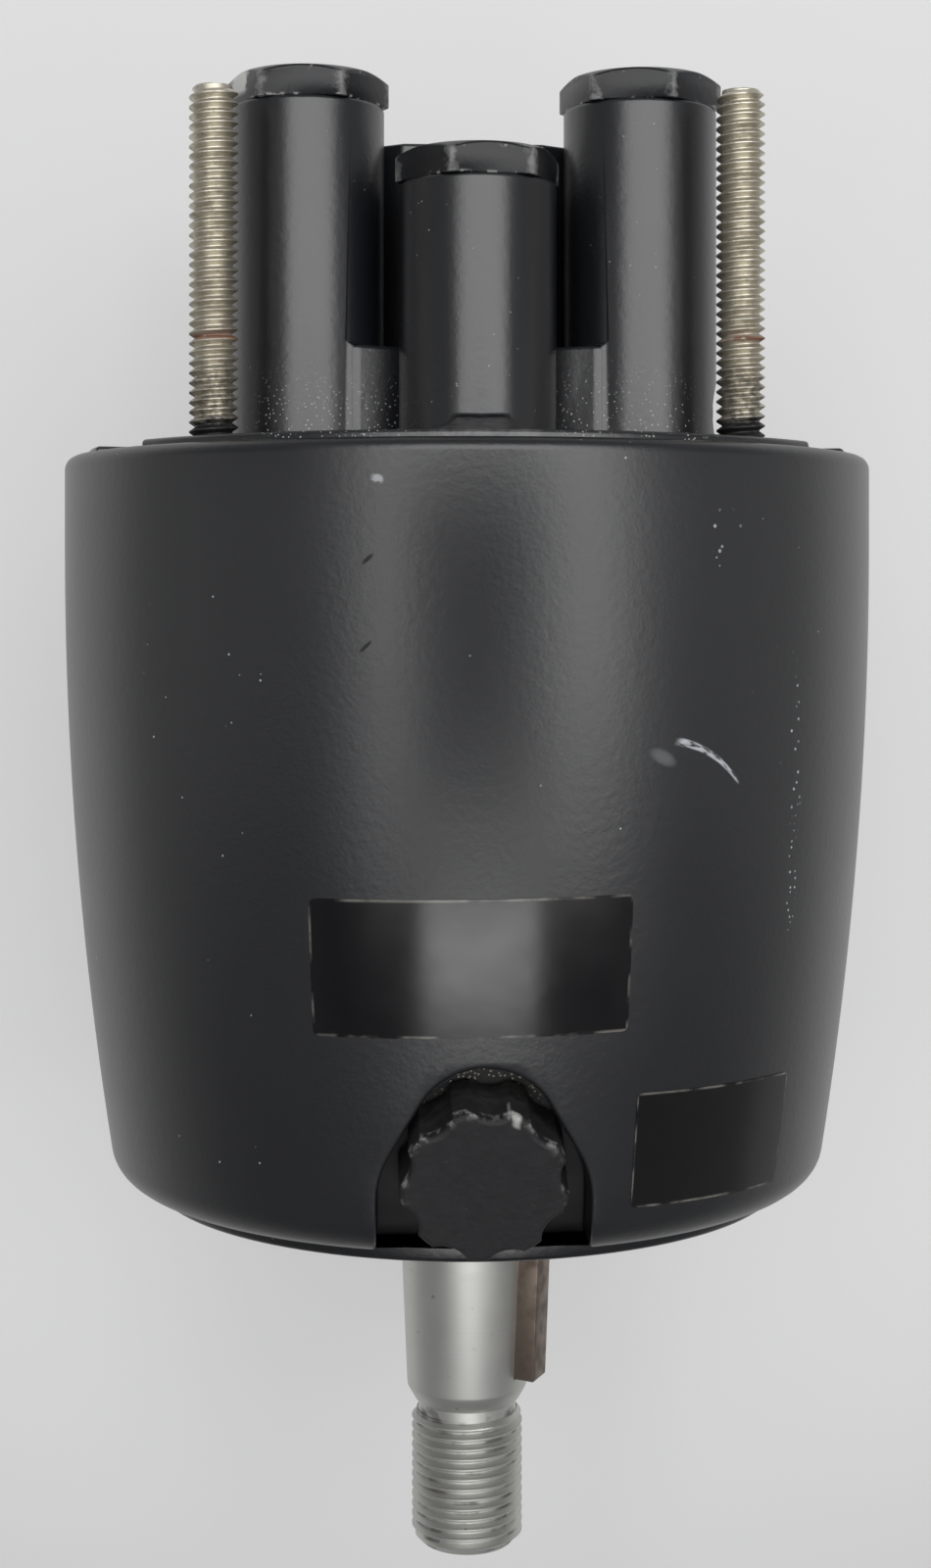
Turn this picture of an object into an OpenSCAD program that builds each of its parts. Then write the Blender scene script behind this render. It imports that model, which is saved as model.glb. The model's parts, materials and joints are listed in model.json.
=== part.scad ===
// Hydraulic boat steering helm: an axial piston pump in a round barrel.
// The helm axis runs along Y: the wheel shaft points to -Y, the dash studs and
// the valve towers to +Y, the filler to +Z. The origin is on the axis, in the
// plane of the mounting pads. Modules are drawn with z along the axis, forward
// towards the wheel, and y up; stand() turns them into that frame.

/* [Barrel] */
// Radius of the barrel at its mounting end
barrel_r = 57.3; // [52:0.1:64]
// Length from the rear rim to the shoulder under the front cover
barrel_len = 101.4; // [92:0.1:114]
// Length of the straight stretch before the side starts to draw in
barrel_straight = 12.6; // [8:0.1:20]
// Radius of the long arc that the side follows
crown_r = 547; // [480:1:900]
// Rounding of the rear rim
rim_round = 1.8; // [0.8:0.1:2.4]
// Rounding of the front shoulder
shoulder_round = 5; // [3:0.1:7]
// Wall of the barrel round the rear block
rim_wall = 3.3; // [2.5:0.1:5]
// Width of the ledge that the rear block seats on
ledge_w = 8; // [7:0.1:9.5]
// Thickness of the front wall
front_wall = 9.4; // [8:0.1:11]

/* [Front cover] */
// Step from the barrel's flat front face in to the edge of the cover plate
cover_inset = 1.1; // [0.5:0.1:3]
// Thickness of the front cover plate
cover_t = 1.8; // [1.2:0.1:3]
// Radius of the hole for the shaft
cover_hole_r = 12.5; // [11:0.1:14]
// Distance of the cover screws from the cover's edge
cover_screw_edge = 8.7; // [6:0.1:12]
// Thread radius of the cover and rear screws
screw_r = 2; // [1.5:0.05:2.4]
// Head radius of the cover and rear screws
screw_head_r = 3.4; // [3:0.05:3.6]
// Head height of the rear screws
screw_head_h = 3; // [2:0.1:4]
// Length of the screws under their heads
screw_len = 15; // [13:0.5:20]

/* [Rear block] */
// Thickness of the rear block inside the barrel
block_t = 10; // [9:0.1:14]
// Height of the mounting pads over the rear rim
pad_proud = 1; // [0.5:0.1:2]
// Width of the ring of mounting pads
pad_w = 11.8; // [10:0.1:14]
// Angle covered by the top pad and by the bottom pad
pad_span = 109; // [100:1:114]
// Angle covered by each side pad
side_pad_span = 36; // [20:1:38]
// Distance of the rear screws from the rear block's edge
rear_screw_edge = 4.5; // [4:0.1:5]
// Section diameter of the ring that seals the rear block in the barrel
rear_seal_d = 1.6; // [1.2:0.05:1.8]
// Distance of that ring from the rear block's inner face
rear_seal_back = 4; // [3:0.1:5]
// Radius of the boss over the rear bush
bush_boss_r = 15; // [13:0.1:16]
// Height of that boss over the pads
bush_boss_h = 8; // [7:0.1:12]

/* [Towers] */
// Radius of a valve tower
tower_r = 10.3; // [9.3:0.1:11.5]
// Distance between the middle tower and each side tower
tower_pitch = 24.3; // [22:0.05:28]
// Height of the side towers over the pads
side_tower_h = 45; // [42:0.1:55]
// Height of the middle tower over the pads
mid_tower_h = 33.4; // [28:0.1:38]
// How far the web between the side towers stays below their tops
web_drop = 4; // [2:0.1:12]
// Thickness of that web
web_t = 8; // [5:0.1:10]
// Gap between the web and the middle plug
web_gap = 0.3; // [0.2:0.05:2]
// Height of the low bridge that ties the three towers together
bridge_h = 12.5; // [10:0.1:16]
// How far the bridge's upper side stays below the middle tower's centre
bridge_drop = 0.75; // [0.25:0.05:3]
// Width of the foot in front of the middle tower
foot_w = 13; // [8:0.1:16]
// Height of that foot over the pads
foot_h = 2.4; // [1:0.1:4]
// Distance of the foot's toe from the rear block's edge
foot_edge = 1; // [0.5:0.1:4]

/* [Plugs] */
// Width across flats of the hex plugs
plug_af = 19.05; // [17:0.05:20]
// Height of a plug's head
plug_head_t = 4.2; // [3:0.1:6]
// Thread radius of a plug
plug_r = 6.35; // [5.7:0.05:7]
// Thread length of a plug
plug_len = 12; // [8:0.1:14]
// Section diameter of the ring under a plug's head
plug_seal_d = 1.6; // [1.2:0.05:1.7]

/* [Studs and ports] */
// Thread radius of the dash studs
stud_r = 3.175; // [2.5:0.005:3.5]
// How much thicker a stud's set end is, inside the rear block
stud_set = 0.775; // [0.6:0.005:1]
// Distance of the studs from the rear block's edge
stud_edge = 5.5; // [5:0.1:6.5]
// Gap between a stud and the tower beside it
stud_gap = 3.275; // [2:0.005:5]
// Length of a stud out of the pads
stud_out = 45.5; // [30:0.5:60]
// Metal left under a stud's set end
stud_floor = 2; // [1:0.1:4]
// Thread radius of the two hose ports
port_r = 7.144; // [6:0.001:7.2]
// Outer radius of a hose port's boss
port_boss_r = 10; // [9:0.1:10.2]
// Height of a hose port's boss over the pads
port_boss_h = 11; // [9:0.1:13]

/* [Wheel shaft] */
// Radius of the shaft where it leaves the cover
shaft_r = 9.525; // [8.5:0.005:10.7]
// Length of the straight stretch in front of the cover
shaft_straight = 7.8; // [4:0.1:15]
// Length of the taper
taper_len = 24; // [22:0.1:30]
// Length over which the taper's diameter shrinks by one
taper_ratio = 12; // [12:1:20]
// Step from the taper's small end down to the wheel nut's thread
thread_step = 0.585; // [0.2:0.005:1]
// Length of the wheel nut's thread
nut_thread_len = 18.5; // [14:0.1:25]
// Length of the run-out groove behind that thread
groove_len = 2; // [1:0.1:3]
// Depth of that groove below the thread
groove_depth = 0.9; // [0.4:0.1:1.2]
// Chamfer at the shaft's end
end_chamfer = 1.4; // [0.5:0.1:2]
// Width of the wheel key
key_w = 4.76; // [3:0.01:5]
// Length of the wheel key
key_len = 19; // [12:0.1:21]
// Distance of the wheel key from the taper's large end
key_start = 1; // [0.5:0.1:2]
// Height of the wheel key over the taper
key_proud = 2.6; // [1.5:0.1:3]
// Turn of the wheel key away from the filler
key_angle = 64; // [0:1:359]

/* [Filler] */
// Forward lean of the filler cap
filler_tilt = 18; // [16:0.5:20]
// Radius of the cap over its lobes
knob_r = 10.6; // [9.3:0.1:11.4]
// Height of the cap
knob_h = 8.5; // [7:0.1:9]
// Number of lobes round the cap
knob_lobes = 9; // [7:1:12]
// Depth of the scallops between the lobes
scallop_depth = 1.1; // [0.6:0.1:1.3]
// Radius of a scallop
scallop_r = 4; // [3:0.1:4.5]
// How far the cap's top lies below the barrel's largest radius
knob_sink = 6.3; // [5.5:0.1:7]
// Distance of the cap's top behind the shoulder
knob_back = 9.1; // [9:0.1:10]
// Gap between the cap and the arched pocket round it
pocket_gap = 2.75; // [2.5:0.05:4]
// How much narrower the pocket's round rear end is than its front
pocket_taper = 4.25; // [3:0.05:5]
// Distance of the pocket's centre behind the shoulder
pocket_back = 11; // [10.5:0.1:12]
// Thread radius of the cap
filler_thread_r = 7; // [6:0.05:7.2]
// Thread length of the cap
filler_thread_len = 8; // [6:0.1:9]
// Section diameter of the cap's sealing ring
filler_seal_d = 0.9; // [0.8:0.05:1]
// Depth of the boss under the cap, from the cap's top
filler_boss_drop = 17.5; // [16:0.1:19]

/* [Pump] */
// Number of pistons
piston_count = 7; // [5:1:8]
// Radius of a piston
piston_r = 9.5; // [8:0.1:10.6]
// Wall of the rotor outside the pistons
piston_wall = 2.5; // [1.5:0.1:4]
// Skin of a piston round its hollow
piston_skin = 3.1; // [2:0.1:4]
// Solid length at a piston's nose
piston_nose_t = 9; // [7:0.1:11]
// Radius of a piston's round nose
nose_r = 14; // [12:0.1:16]
// Tilt of the swash plate
swash_angle = 18; // [15:0.5:18.5]
// Gap between the rotor that carries the pistons and the oil chamber
rotor_gap = 4; // [3:0.1:6]
// Thickness of the valve plate
plate_t = 3; // [2:0.1:4]
// Step from the front bearing up to the shaft's seat in the rotor
seat_step = 1; // [0.5:0.1:2]
// Radius of the shaft's rear journal
journal_r = 7.9; // [7:0.05:8.5]
// Step from the shaft's front up to its seat in the front bearing
bearing_step = 0.475; // [0.2:0.005:1]
// Depth of the front bearing from bore to outside
bearing_depth = 11; // [10:0.1:12.5]
// Width of the front bearing
bearing_w = 12; // [11:0.1:13.4]
// Outer radius of the shaft seal
seal_ro = 16; // [14:0.1:18]
// Width of the shaft seal
seal_w = 5.2; // [4:0.1:5.6]

/* [Clearances] */
// Radial gap of a close fit
fit_gap = 0.05; // [0.02:0.01:0.08]
// Gap between pieces that run past each other
run_gap = 0.2; // [0.15:0.05:0.4]
// Gap between a piston's nose and the swash race
nose_gap = 0.5; // [0.3:0.1:1]

/* [Hidden] */
$fn = 64;
// How far a cut or a join reaches past the face that it starts from
overlap = 0.5;

// Planes along the axis, from the pads forward
rim_z = pad_proud;
block_z = rim_z + block_t;
shoulder_z = rim_z + barrel_len;
wall_z = shoulder_z - front_wall;
cover_z = shoulder_z + cover_t;
plate_z = block_z + plate_t;
rotor_z = plate_z + run_gap;
seal_z = shoulder_z - seal_w;
seal_back = 2;
bearing_z = seal_z - seal_back - bearing_w;
taper_z = cover_z + shaft_straight;
taper_end_z = taper_z + taper_len;
taper_end_r = shaft_r - taper_len / taper_ratio / 2;
nut_thread_r = taper_end_r - thread_step;
thread_z = taper_end_z + groove_len;
shaft_end_z = thread_z + nut_thread_len;

// Outline of the barrel, as radius and place along the axis
crown_c = barrel_r - crown_r;
crown_z = rim_z + barrel_straight;
shoulder_cz = shoulder_z - shoulder_round;
crown_a = asin((shoulder_cz - crown_z) / (crown_r - shoulder_round));
shoulder_c = crown_c + (crown_r - shoulder_round) * cos(crown_a);
function arc(c, z, r, a0, a1, n, first = 0) =
    [for (i = [first : n]) let (a = a0 + (a1 - a0) * i / n) [c + r * cos(a), z + r * sin(a)]];
barrel_outline = concat(
    [[0, rim_z]],
    arc(barrel_r - rim_round, rim_z + rim_round, rim_round, -90, 0, 6),
    arc(crown_c, crown_z, crown_r, 0, crown_a, 12),
    arc(shoulder_c, shoulder_cz, shoulder_round, crown_a, 90, 8, 1),
    [[0, shoulder_z]]);
cover_r = shoulder_c - cover_inset;
cover_screw_ring_r = cover_r - cover_screw_edge;

// Radii of the rear block and of what stands on it, from the barrel's wall inwards
block_r = barrel_r - rim_wall;
chamber_r = block_r - ledge_w;
pad_inner_r = block_r - pad_w;
rear_screw_ring_r = block_r - rear_screw_edge;
rear_seal_z = block_z - rear_seal_back;
stud_ring_r = block_r - stud_edge;
stud_end_z = block_z - stud_floor;
stud_set_r = stud_r + stud_set;
tower_ring_r = stud_ring_r - stud_r - stud_gap - tower_r;
tower_angle = 2 * asin(tower_pitch / 2 / tower_ring_r);
tower_x = tower_ring_r * sin(tower_angle);
tower_y = tower_ring_r * cos(tower_angle);
quarter_angles = [for (i = [0 : 3]) 45 + 90 * i];
notch_angle = 90 - side_pad_span / 2 - pad_span / 2;
notch_mid_angle = pad_span / 2 + notch_angle / 2;
rear_screw_angles = [notch_mid_angle, 180 - notch_mid_angle, 180 + notch_mid_angle, 360 - notch_mid_angle];

// Plugs, and the web and the bridge that tie the towers together
plug_angles = [4, -9, 12];
plug_corner_r = plug_af / 2 / cos(30);
plug_face_inset = 0.3;
plug_seal_room = 0.3;
plug_seal_seat_r = plug_r + plug_seal_d + plug_seal_room;
web_h = side_tower_h - web_drop;
web_top_y = tower_ring_r - plug_corner_r - web_gap;
bridge_top_y = tower_ring_r - bridge_drop;
foot_toe_z = pad_proud / 2;

// Check valves in the side towers and the shuttle between them
check_bore_r = 5;
check_seat_z = -9;
check_seat_t = 3;
check_hole_r = 2.6;
check_passage_r = 3;
poppet_r = 4.3;
poppet_len = 6;
poppet_nose_r = 1.2;
poppet_nose_len = poppet_r - poppet_nose_r;
poppet_z = check_seat_z - check_seat_t - (poppet_r - check_hole_r) - run_gap;
poppet_stem_r = 2.3;
check_travel = 3;
plug_end_z = side_tower_h - plug_len;
check_spring_len = plug_end_z - poppet_len + poppet_z - check_travel - 2 * run_gap;
spool_r = 3.5;
spool_z = -4;
spool_stem_r = 2;
spool_travel = 3;
spool_lap = 0.5;
spool_half = tower_x - check_passage_r - spool_travel + spool_lap;
spool_plug_r = 4.5;
spool_plug_len = 5;
spool_plug_sink = 1;

// Front bearing, in the front wall, and the rear bush
bearing_ri = shaft_r + bearing_step;
bearing_ro = bearing_ri + bearing_depth;
bearing_boss_t = 4;
bearing_boss_r = bearing_ro + bearing_boss_t;
bearing_pitch_r = (bearing_ri + bearing_ro) / 2;
bearing_race_t = 2;
bearing_ball_r = bearing_depth / 2 - bearing_race_t;
bearing_ball_count = 9;
bearing_ring_t = 3.2;
bearing_cage_t = 1.6;
bearing_mid_z = bearing_z + bearing_w / 2;
rotor_seat_r = bearing_ri + seat_step;
plate_step = 1;
plate_seat_r = journal_r + plate_step;
bush_t = 2.1;
bush_ro = journal_r + bush_t;
bush_len = 15;
journal_end_z = block_z - bush_len;

// Filler pocket, and the boss under it
knob_top_y = barrel_r - knob_sink;
knob_top_z = shoulder_z - knob_back;
pocket_r = knob_r + pocket_gap;
pocket_z = shoulder_z - pocket_back;
pocket_floor = -knob_h - filler_seal_d;
filler_end = pocket_floor - filler_thread_len;
filler_end_y = knob_top_y + filler_end * cos(filler_tilt) - filler_thread_r * sin(filler_tilt);
filler_boss_y = knob_top_y - filler_boss_drop;
filler_boss_t = 3;
filler_boss_r = pocket_r + filler_boss_t;
filler_hole = filler_boss_drop / cos(filler_tilt) + filler_thread_r * tan(filler_tilt) + overlap;
filler_seal_inset = 1.2;
filler_seal_r = filler_thread_r + fit_gap + filler_seal_inset;

// Swash plate: its plane passes race_z on the axis and comes back towards the rotor at the top
rotor_r = chamber_r - rotor_gap;
ball_r = 2.5;
ball_bite = 0.5;
ball_count = 14;
race_t = 3;
race_w = 19;
race_inset = 1;
race_ro = rotor_r - race_inset;
race_ri = race_ro - race_w;
ball_ring_r = (race_ri + race_ro) / 2;
groove_r = ball_r + run_gap;
ball_z = race_t + ball_r - ball_bite;
swash_stack = 2 * ball_z;
cage_inset = 4;
cage_t = 1.6;
swash_block_gap = 0.4;
swash_block_r = chamber_r - swash_block_gap;
swash_boss_gap = 0.7;
swash_face_z = bearing_z - bearing_boss_r * tan(swash_angle) - swash_boss_gap;
race_z = swash_face_z - swash_stack / cos(swash_angle);
swash_pin_r = 3;
swash_pin_edge = 4.4;
swash_pin_ring_r = swash_block_r - swash_pin_edge;
swash_pin_angle = 29;
swash_pin_in = 6;
swash_pin_out = 3.8;

// Rotor and pistons, parked at the depth of the top piston
rotor_room = 6;
rotor_end_z = race_z - race_ro * sin(swash_angle) - rotor_room;
rotor_floor = 6;
bore_z = rotor_z + rotor_floor;
piston_ring_r = rotor_r - piston_wall - piston_r;
nose_c_z = race_z - (nose_r + nose_gap + sin(swash_angle) * piston_ring_r) / cos(swash_angle);
piston_tail_gap = 1.5;
piston_tail_z = bore_z + piston_tail_gap;
piston_hollow_r = piston_r - piston_skin;
piston_hollow_end_z = nose_c_z + nose_r - piston_nose_t;
piston_spring_gap = 0.4;
piston_spring_ro = piston_hollow_r - piston_spring_gap;
piston_spring_t = 1.4;
rotor_port_r = 4;
kidney_angle = 110;
plate_gap = 1;
rotor_key_w = 5;
rotor_key_back = 4;
rotor_key_front = 7;
rotor_key_len = rotor_end_z - rotor_z - rotor_key_back - rotor_key_front;
ring_t = 1.2;
ring_proud = 2.5;
ring_r = rotor_seat_r + ring_proud;
ring_mouth = 4;
ring_depth = 0.8;
ring_groove_r = rotor_seat_r - ring_depth;

paint = "#232326";
bright_steel = "#b9b6ae";
stud_steel = "#a39c88";
dark_plastic = "#1b1b1c";
rubber = "#2b2a29";
bronze = "#9a7b46";
raw_alloy = "#8f9194";

function numbered(stem, count) = [for (i = [1 : count]) str(stem, "_", i)];
side_names = ["port", "stbd"];
piston_names = numbered("piston", piston_count);

// Frames that the pieces are drawn in
module stand() {
    rotate([90, 0, 0]) children();
}

// A place on a circle round the axis, turned from straight up towards +X
module on_ring(r, turn) {
    rotate(-turn) translate([0, r, 0]) children();
}

module at_filler() {
    translate([0, knob_top_y, knob_top_z]) rotate([filler_tilt - 90, 0, 0]) children();
}

module at_swash() {
    translate([0, 0, race_z]) rotate([-swash_angle, 0, 0]) children();
}

module at_swash_pin(side) {
    on_ring(swash_pin_ring_r, 180 + side * swash_pin_angle) children();
}

// A tower's place; side -1 is port, 0 the middle tower and 1 starboard
module at_tower(side) {
    on_ring(tower_ring_r, side * tower_angle) children();
}

module at_port(side) {
    on_ring(tower_ring_r, 180 + side * tower_angle) children();
}

function tower_h(side) = side == 0 ? mid_tower_h : side_tower_h;

// Shapes that several pieces share
module rod(r, z0, z1) {
    translate([0, 0, z0]) cylinder(r = r, h = z1 - z0);
}

module rod_hex(r, z0, z1) {
    translate([0, 0, z0]) cylinder(r = r, h = z1 - z0, $fn = 6);
}

module tube(ro, ri, z0, z1) {
    difference() {
        rod(ro, z0, z1);
        rod(ri, z0 - overlap, z1 + overlap);
    }
}

module o_ring(r, d) {
    rotate_extrude() translate([r, 0]) circle(d = d, $fn = 24);
}

// Barrel
module barrel_solid() {
    rotate_extrude($fn = 120) polygon(barrel_outline);
}

// Two round ends stand two tapers apart, so the flanks that join them always lean by 30 degrees.
module pocket_prism(r, y0, y1) {
    rear_r = r - pocket_taper;
    rear_y = 2 * pocket_taper + rear_r / 2;
    flank = [[r, r / 2], [rear_r, rear_y], [-rear_r, rear_y], [-r, r / 2]];
    translate([0, y0, pocket_z + pocket_taper]) {
        rotate([-90, 0, 0]) {
            cylinder(r = r, h = y1 - y0);
            translate([0, 2 * pocket_taper, 0]) cylinder(r = rear_r, h = y1 - y0);
            linear_extrude(y1 - y0) polygon([for (corner = flank) [corner[0] * cos(30), corner[1]]]);
        }
        translate([-r, 0, 0]) cube([2 * r, y1 - y0, pocket_back - pocket_taper + overlap]);
    }
}

module filler_pocket() {
    intersection() {
        pocket_prism(pocket_r, filler_boss_y, barrel_r + overlap);
        at_filler() translate([-barrel_r, -barrel_r, pocket_floor]) cube(2 * barrel_r);
    }
}

module filler_boss() {
    translate([0, filler_boss_y, pocket_z]) rotate([-90, 0, 0])
        cylinder(r = filler_boss_r, h = barrel_r - filler_boss_y);
}

module barrel_bores() {
    rod(block_r + fit_gap, rim_z - overlap, block_z);
    rod(bearing_ro + fit_gap, bearing_z - overlap, bearing_z + bearing_w);
    rod(cover_hole_r, bearing_z, shoulder_z + overlap);
    rod(seal_ro + fit_gap, seal_z, shoulder_z + overlap);
    at_filler() rod(filler_thread_r + fit_gap, -filler_hole, pocket_floor + overlap);
    for (turn = rear_screw_angles) {
        on_ring(rear_screw_ring_r, turn)
            rod(screw_r + fit_gap, block_z - overlap, rim_z + screw_head_h + screw_len + overlap);
    }
    for (turn = quarter_angles) {
        on_ring(cover_screw_ring_r, turn)
            rod(screw_r + fit_gap, cover_z - screw_len / 2 - overlap, shoulder_z + overlap);
    }
    for (side = [-1, 1]) {
        at_swash_pin(side) rod(swash_pin_r + fit_gap, wall_z - overlap, wall_z + swash_pin_in);
    }
}

module barrel() {
    color(paint) stand() difference() {
        union() {
            difference() {
                barrel_solid();
                rod(chamber_r, block_z - overlap, wall_z);
            }
            rod(bearing_boss_r, bearing_z, wall_z + overlap);
            intersection() {
                barrel_solid();
                filler_boss();
            }
        }
        barrel_bores();
        filler_pocket();
    }
}

// Front cover
module cover_screw_head(r) {
    head_h = r - screw_r;
    translate([0, 0, cover_z - head_h]) cylinder(r1 = screw_r, r2 = r, h = head_h);
}

module front_cover() {
    color(paint) stand() difference() {
        rod(cover_r, shoulder_z, cover_z);
        rod(cover_hole_r, shoulder_z - overlap, cover_z + overlap);
        for (turn = quarter_angles) {
            on_ring(cover_screw_ring_r, turn) {
                rod(screw_r + fit_gap, shoulder_z - overlap, cover_z + overlap);
                cover_screw_head(screw_head_r + fit_gap);
            }
        }
    }
}

module cover_screw(i) {
    color(stud_steel) stand() on_ring(cover_screw_ring_r, quarter_angles[i]) {
        cover_screw_head(screw_head_r);
        rod(screw_r, cover_z - screw_len / 2, cover_z - (screw_head_r - screw_r));
    }
}

// Rear block
module notch(turn) {
    reach = 2 * block_r;
    edges = [turn - notch_angle / 2, turn + notch_angle / 2];
    translate([0, 0, -overlap]) linear_extrude(rim_z + overlap)
        polygon(concat([[0, 0]], [for (a = edges) reach * [sin(a), cos(a)]]));
}

module padded_disc() {
    difference() {
        rod(block_r, 0, block_z);
        rod(pad_inner_r, -overlap, rim_z);
        for (turn = rear_screw_angles) {
            notch(turn);
        }
    }
}

module tower_foot() {
    run = block_r - foot_edge - tower_ring_r;
    root_z = rim_z + overlap;
    translate([-foot_w / 2, tower_ring_r, 0]) rotate([90, 0, 90]) linear_extrude(foot_w)
        polygon([[0, root_z], [run, root_z], [run, foot_toe_z], [tower_r, -foot_h], [0, -foot_h]]);
}

module rear_block_solid() {
    padded_disc();
    difference() {
        tower_foot();
        at_tower(0) rod(tower_r, -mid_tower_h, rim_z);
    }
}

module valve_block_solid() {
    root_z = rim_z + overlap;
    web_low_y = web_top_y - web_t;
    for (side = [-1, 0, 1]) {
        at_tower(side) rod(tower_r, -tower_h(side), root_z);
    }
    translate([-tower_x, web_low_y, -web_h]) cube([2 * tower_x, web_t, web_h + root_z]);
    translate([-tower_x, web_low_y, -bridge_h])
        cube([2 * tower_x, bridge_top_y - web_low_y, bridge_h + root_z]);
}

module tower_bores(side) {
    top_z = -tower_h(side);
    rod(plug_r + fit_gap, top_z - overlap, top_z + plug_len + overlap);
    rod(plug_seal_seat_r, top_z - overlap, top_z + plug_seal_d);
    rod(check_passage_r, top_z + plug_len, block_z + overlap);
}

module valve_bores() {
    for (side = [-1, 0, 1]) {
        at_tower(side) tower_bores(side);
    }
    for (side = [-1, 1]) {
        at_tower(side) rod(check_bore_r, -plug_end_z - overlap, check_seat_z);
    }
    translate([0, tower_y, spool_z]) rotate([0, 90, 0]) {
        rod(spool_r + fit_gap, -tower_x, tower_x);
        rod(spool_plug_r + fit_gap, tower_x, tower_x + tower_r + overlap);
    }
}

module rear_block_bores() {
    rod(bush_ro + fit_gap, journal_end_z - overlap, block_z + overlap);
    for (side = [-1, 1]) {
        at_port(side) rod(check_passage_r, rim_z - overlap, block_z + overlap);
    }
    for (turn = quarter_angles) {
        on_ring(stud_ring_r, turn) rod(stud_set_r + fit_gap, -overlap, stud_end_z);
    }
    for (turn = rear_screw_angles) {
        on_ring(rear_screw_ring_r, turn) {
            rod(screw_r + fit_gap, rim_z, block_z + overlap);
            rod(screw_head_r + fit_gap, -overlap, rim_z + screw_head_h);
        }
    }
    translate([0, 0, rear_seal_z])
        tube(block_r + overlap, block_r - rear_seal_d, -rear_seal_d / 2, rear_seal_d / 2);
}

module rear_block() {
    color(paint) stand() difference() {
        rear_block_solid();
        rear_block_bores();
        valve_bores();
    }
}

module valve_block() {
    color(paint) stand() difference() {
        valve_block_solid();
        padded_disc();
        rod(bush_boss_r + fit_gap, -bush_boss_h - fit_gap, rim_z + overlap);
        valve_bores();
    }
}

module bush_cap() {
    color(paint) stand() difference() {
        rod(bush_boss_r, -bush_boss_h, rim_z);
        rod(bush_ro + fit_gap, journal_end_z - overlap, rim_z + overlap);
    }
}

module hose_collar(side) {
    color(paint) stand() at_port(side) tube(port_boss_r, port_r, -port_boss_h, rim_z);
}

module rear_seal() {
    color(rubber) stand() translate([0, 0, rear_seal_z])
        o_ring(block_r - rear_seal_d / 2, rear_seal_d - 2 * fit_gap);
}

module rear_screw(i) {
    seat_z = rim_z + screw_head_h;
    color(stud_steel) stand() on_ring(rear_screw_ring_r, rear_screw_angles[i]) difference() {
        union() {
            rod(screw_head_r, rim_z + run_gap, seat_z);
            rod(screw_r, seat_z - overlap, seat_z + screw_len);
        }
        rod_hex(screw_r, rim_z, rim_z + screw_head_h / 2);
    }
}

module stud(i) {
    tip = end_chamfer / 2;
    color(stud_steel) stand() on_ring(stud_ring_r, quarter_angles[i]) {
        rod(stud_set_r, 0, stud_end_z);
        rod(stud_r, tip - stud_out, overlap);
        translate([0, 0, -stud_out]) cylinder(r1 = stud_r - tip, r2 = stud_r, h = tip);
    }
}

module plug(side) {
    head_z = -tower_h(side);
    face_r = plug_af / 2 - plug_face_inset;
    color(paint) stand() at_tower(side) {
        intersection() {
            rotate(plug_angles[side + 1]) rod_hex(plug_corner_r, head_z - plug_head_t, head_z);
            translate([0, 0, head_z - plug_head_t])
                cylinder(r1 = face_r, r2 = face_r + plug_head_t * tan(60), h = plug_head_t);
        }
        rod(plug_r, head_z - overlap, head_z + plug_len);
    }
}

module plug_seal(side) {
    seal_r = (plug_r + plug_seal_seat_r) / 2;
    color(rubber) stand() at_tower(side) translate([0, 0, plug_seal_d / 2 - tower_h(side)])
        o_ring(seal_r, plug_seal_d - 2 * fit_gap);
}

// Check valves and shuttle
module check_seat(side) {
    color(bronze) stand() at_tower(side)
        tube(check_bore_r - fit_gap, check_hole_r, check_seat_z - check_seat_t, check_seat_z);
}

module check_poppet(side) {
    tail_z = poppet_z - poppet_len;
    color(bright_steel) stand() at_tower(side) {
        rod(poppet_r, tail_z, poppet_z);
        translate([0, 0, poppet_z]) cylinder(r1 = poppet_r, r2 = poppet_nose_r, h = poppet_nose_len);
        rod(poppet_stem_r, tail_z - check_spring_len / 2, tail_z + overlap);
    }
}

module check_spring(side) {
    tail_z = poppet_z - poppet_len;
    color(bright_steel) stand() at_tower(side)
        tube(poppet_r - run_gap, poppet_stem_r + run_gap, tail_z - check_spring_len, tail_z);
}

module shuttle_spool() {
    land = spool_half / 2;
    color(bright_steel) stand() translate([0, tower_y, spool_z]) rotate([0, 90, 0]) {
        rod(spool_r, -spool_half, -spool_half + land);
        rod(spool_stem_r, -spool_half + land - overlap, spool_half - land + overlap);
        rod(spool_r, spool_half - land, spool_half);
    }
}

module spool_plug() {
    seat_x = tower_x + tower_r - spool_plug_len - spool_plug_sink;
    color(paint) stand() translate([seat_x, tower_y, spool_z]) rotate([0, 90, 0]) difference() {
        rod(spool_plug_r, 0, spool_plug_len);
        rod_hex(spool_plug_r / 2, spool_plug_len / 2, spool_plug_len + overlap);
    }
}

// Filler cap: a lobe points forward, at the wheel
module filler_cap() {
    step = 360 / knob_lobes;
    color(dark_plastic) stand() at_filler() {
        difference() {
            rod(knob_r, -knob_h, 0);
            for (i = [0 : knob_lobes - 1]) {
                rotate(step * (i + 0.5) - 90) translate([knob_r + scallop_r - scallop_depth, 0, 0])
                    rod(scallop_r, -knob_h - overlap, overlap);
            }
        }
        rod(filler_thread_r, filler_end, overlap - knob_h);
    }
}

module filler_seal() {
    color(rubber) stand() at_filler() translate([0, 0, pocket_floor + filler_seal_d / 2])
        o_ring(filler_seal_r + filler_seal_d / 2, filler_seal_d - 2 * fit_gap);
}

// Shaft, with its keys
module at_key() {
    lean = atan(1 / taper_ratio / 2);
    on_ring(0, key_angle) translate([0, shaft_r, taper_z]) rotate([lean, 0, 0])
        translate([0, 0, key_start]) children();
}

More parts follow.
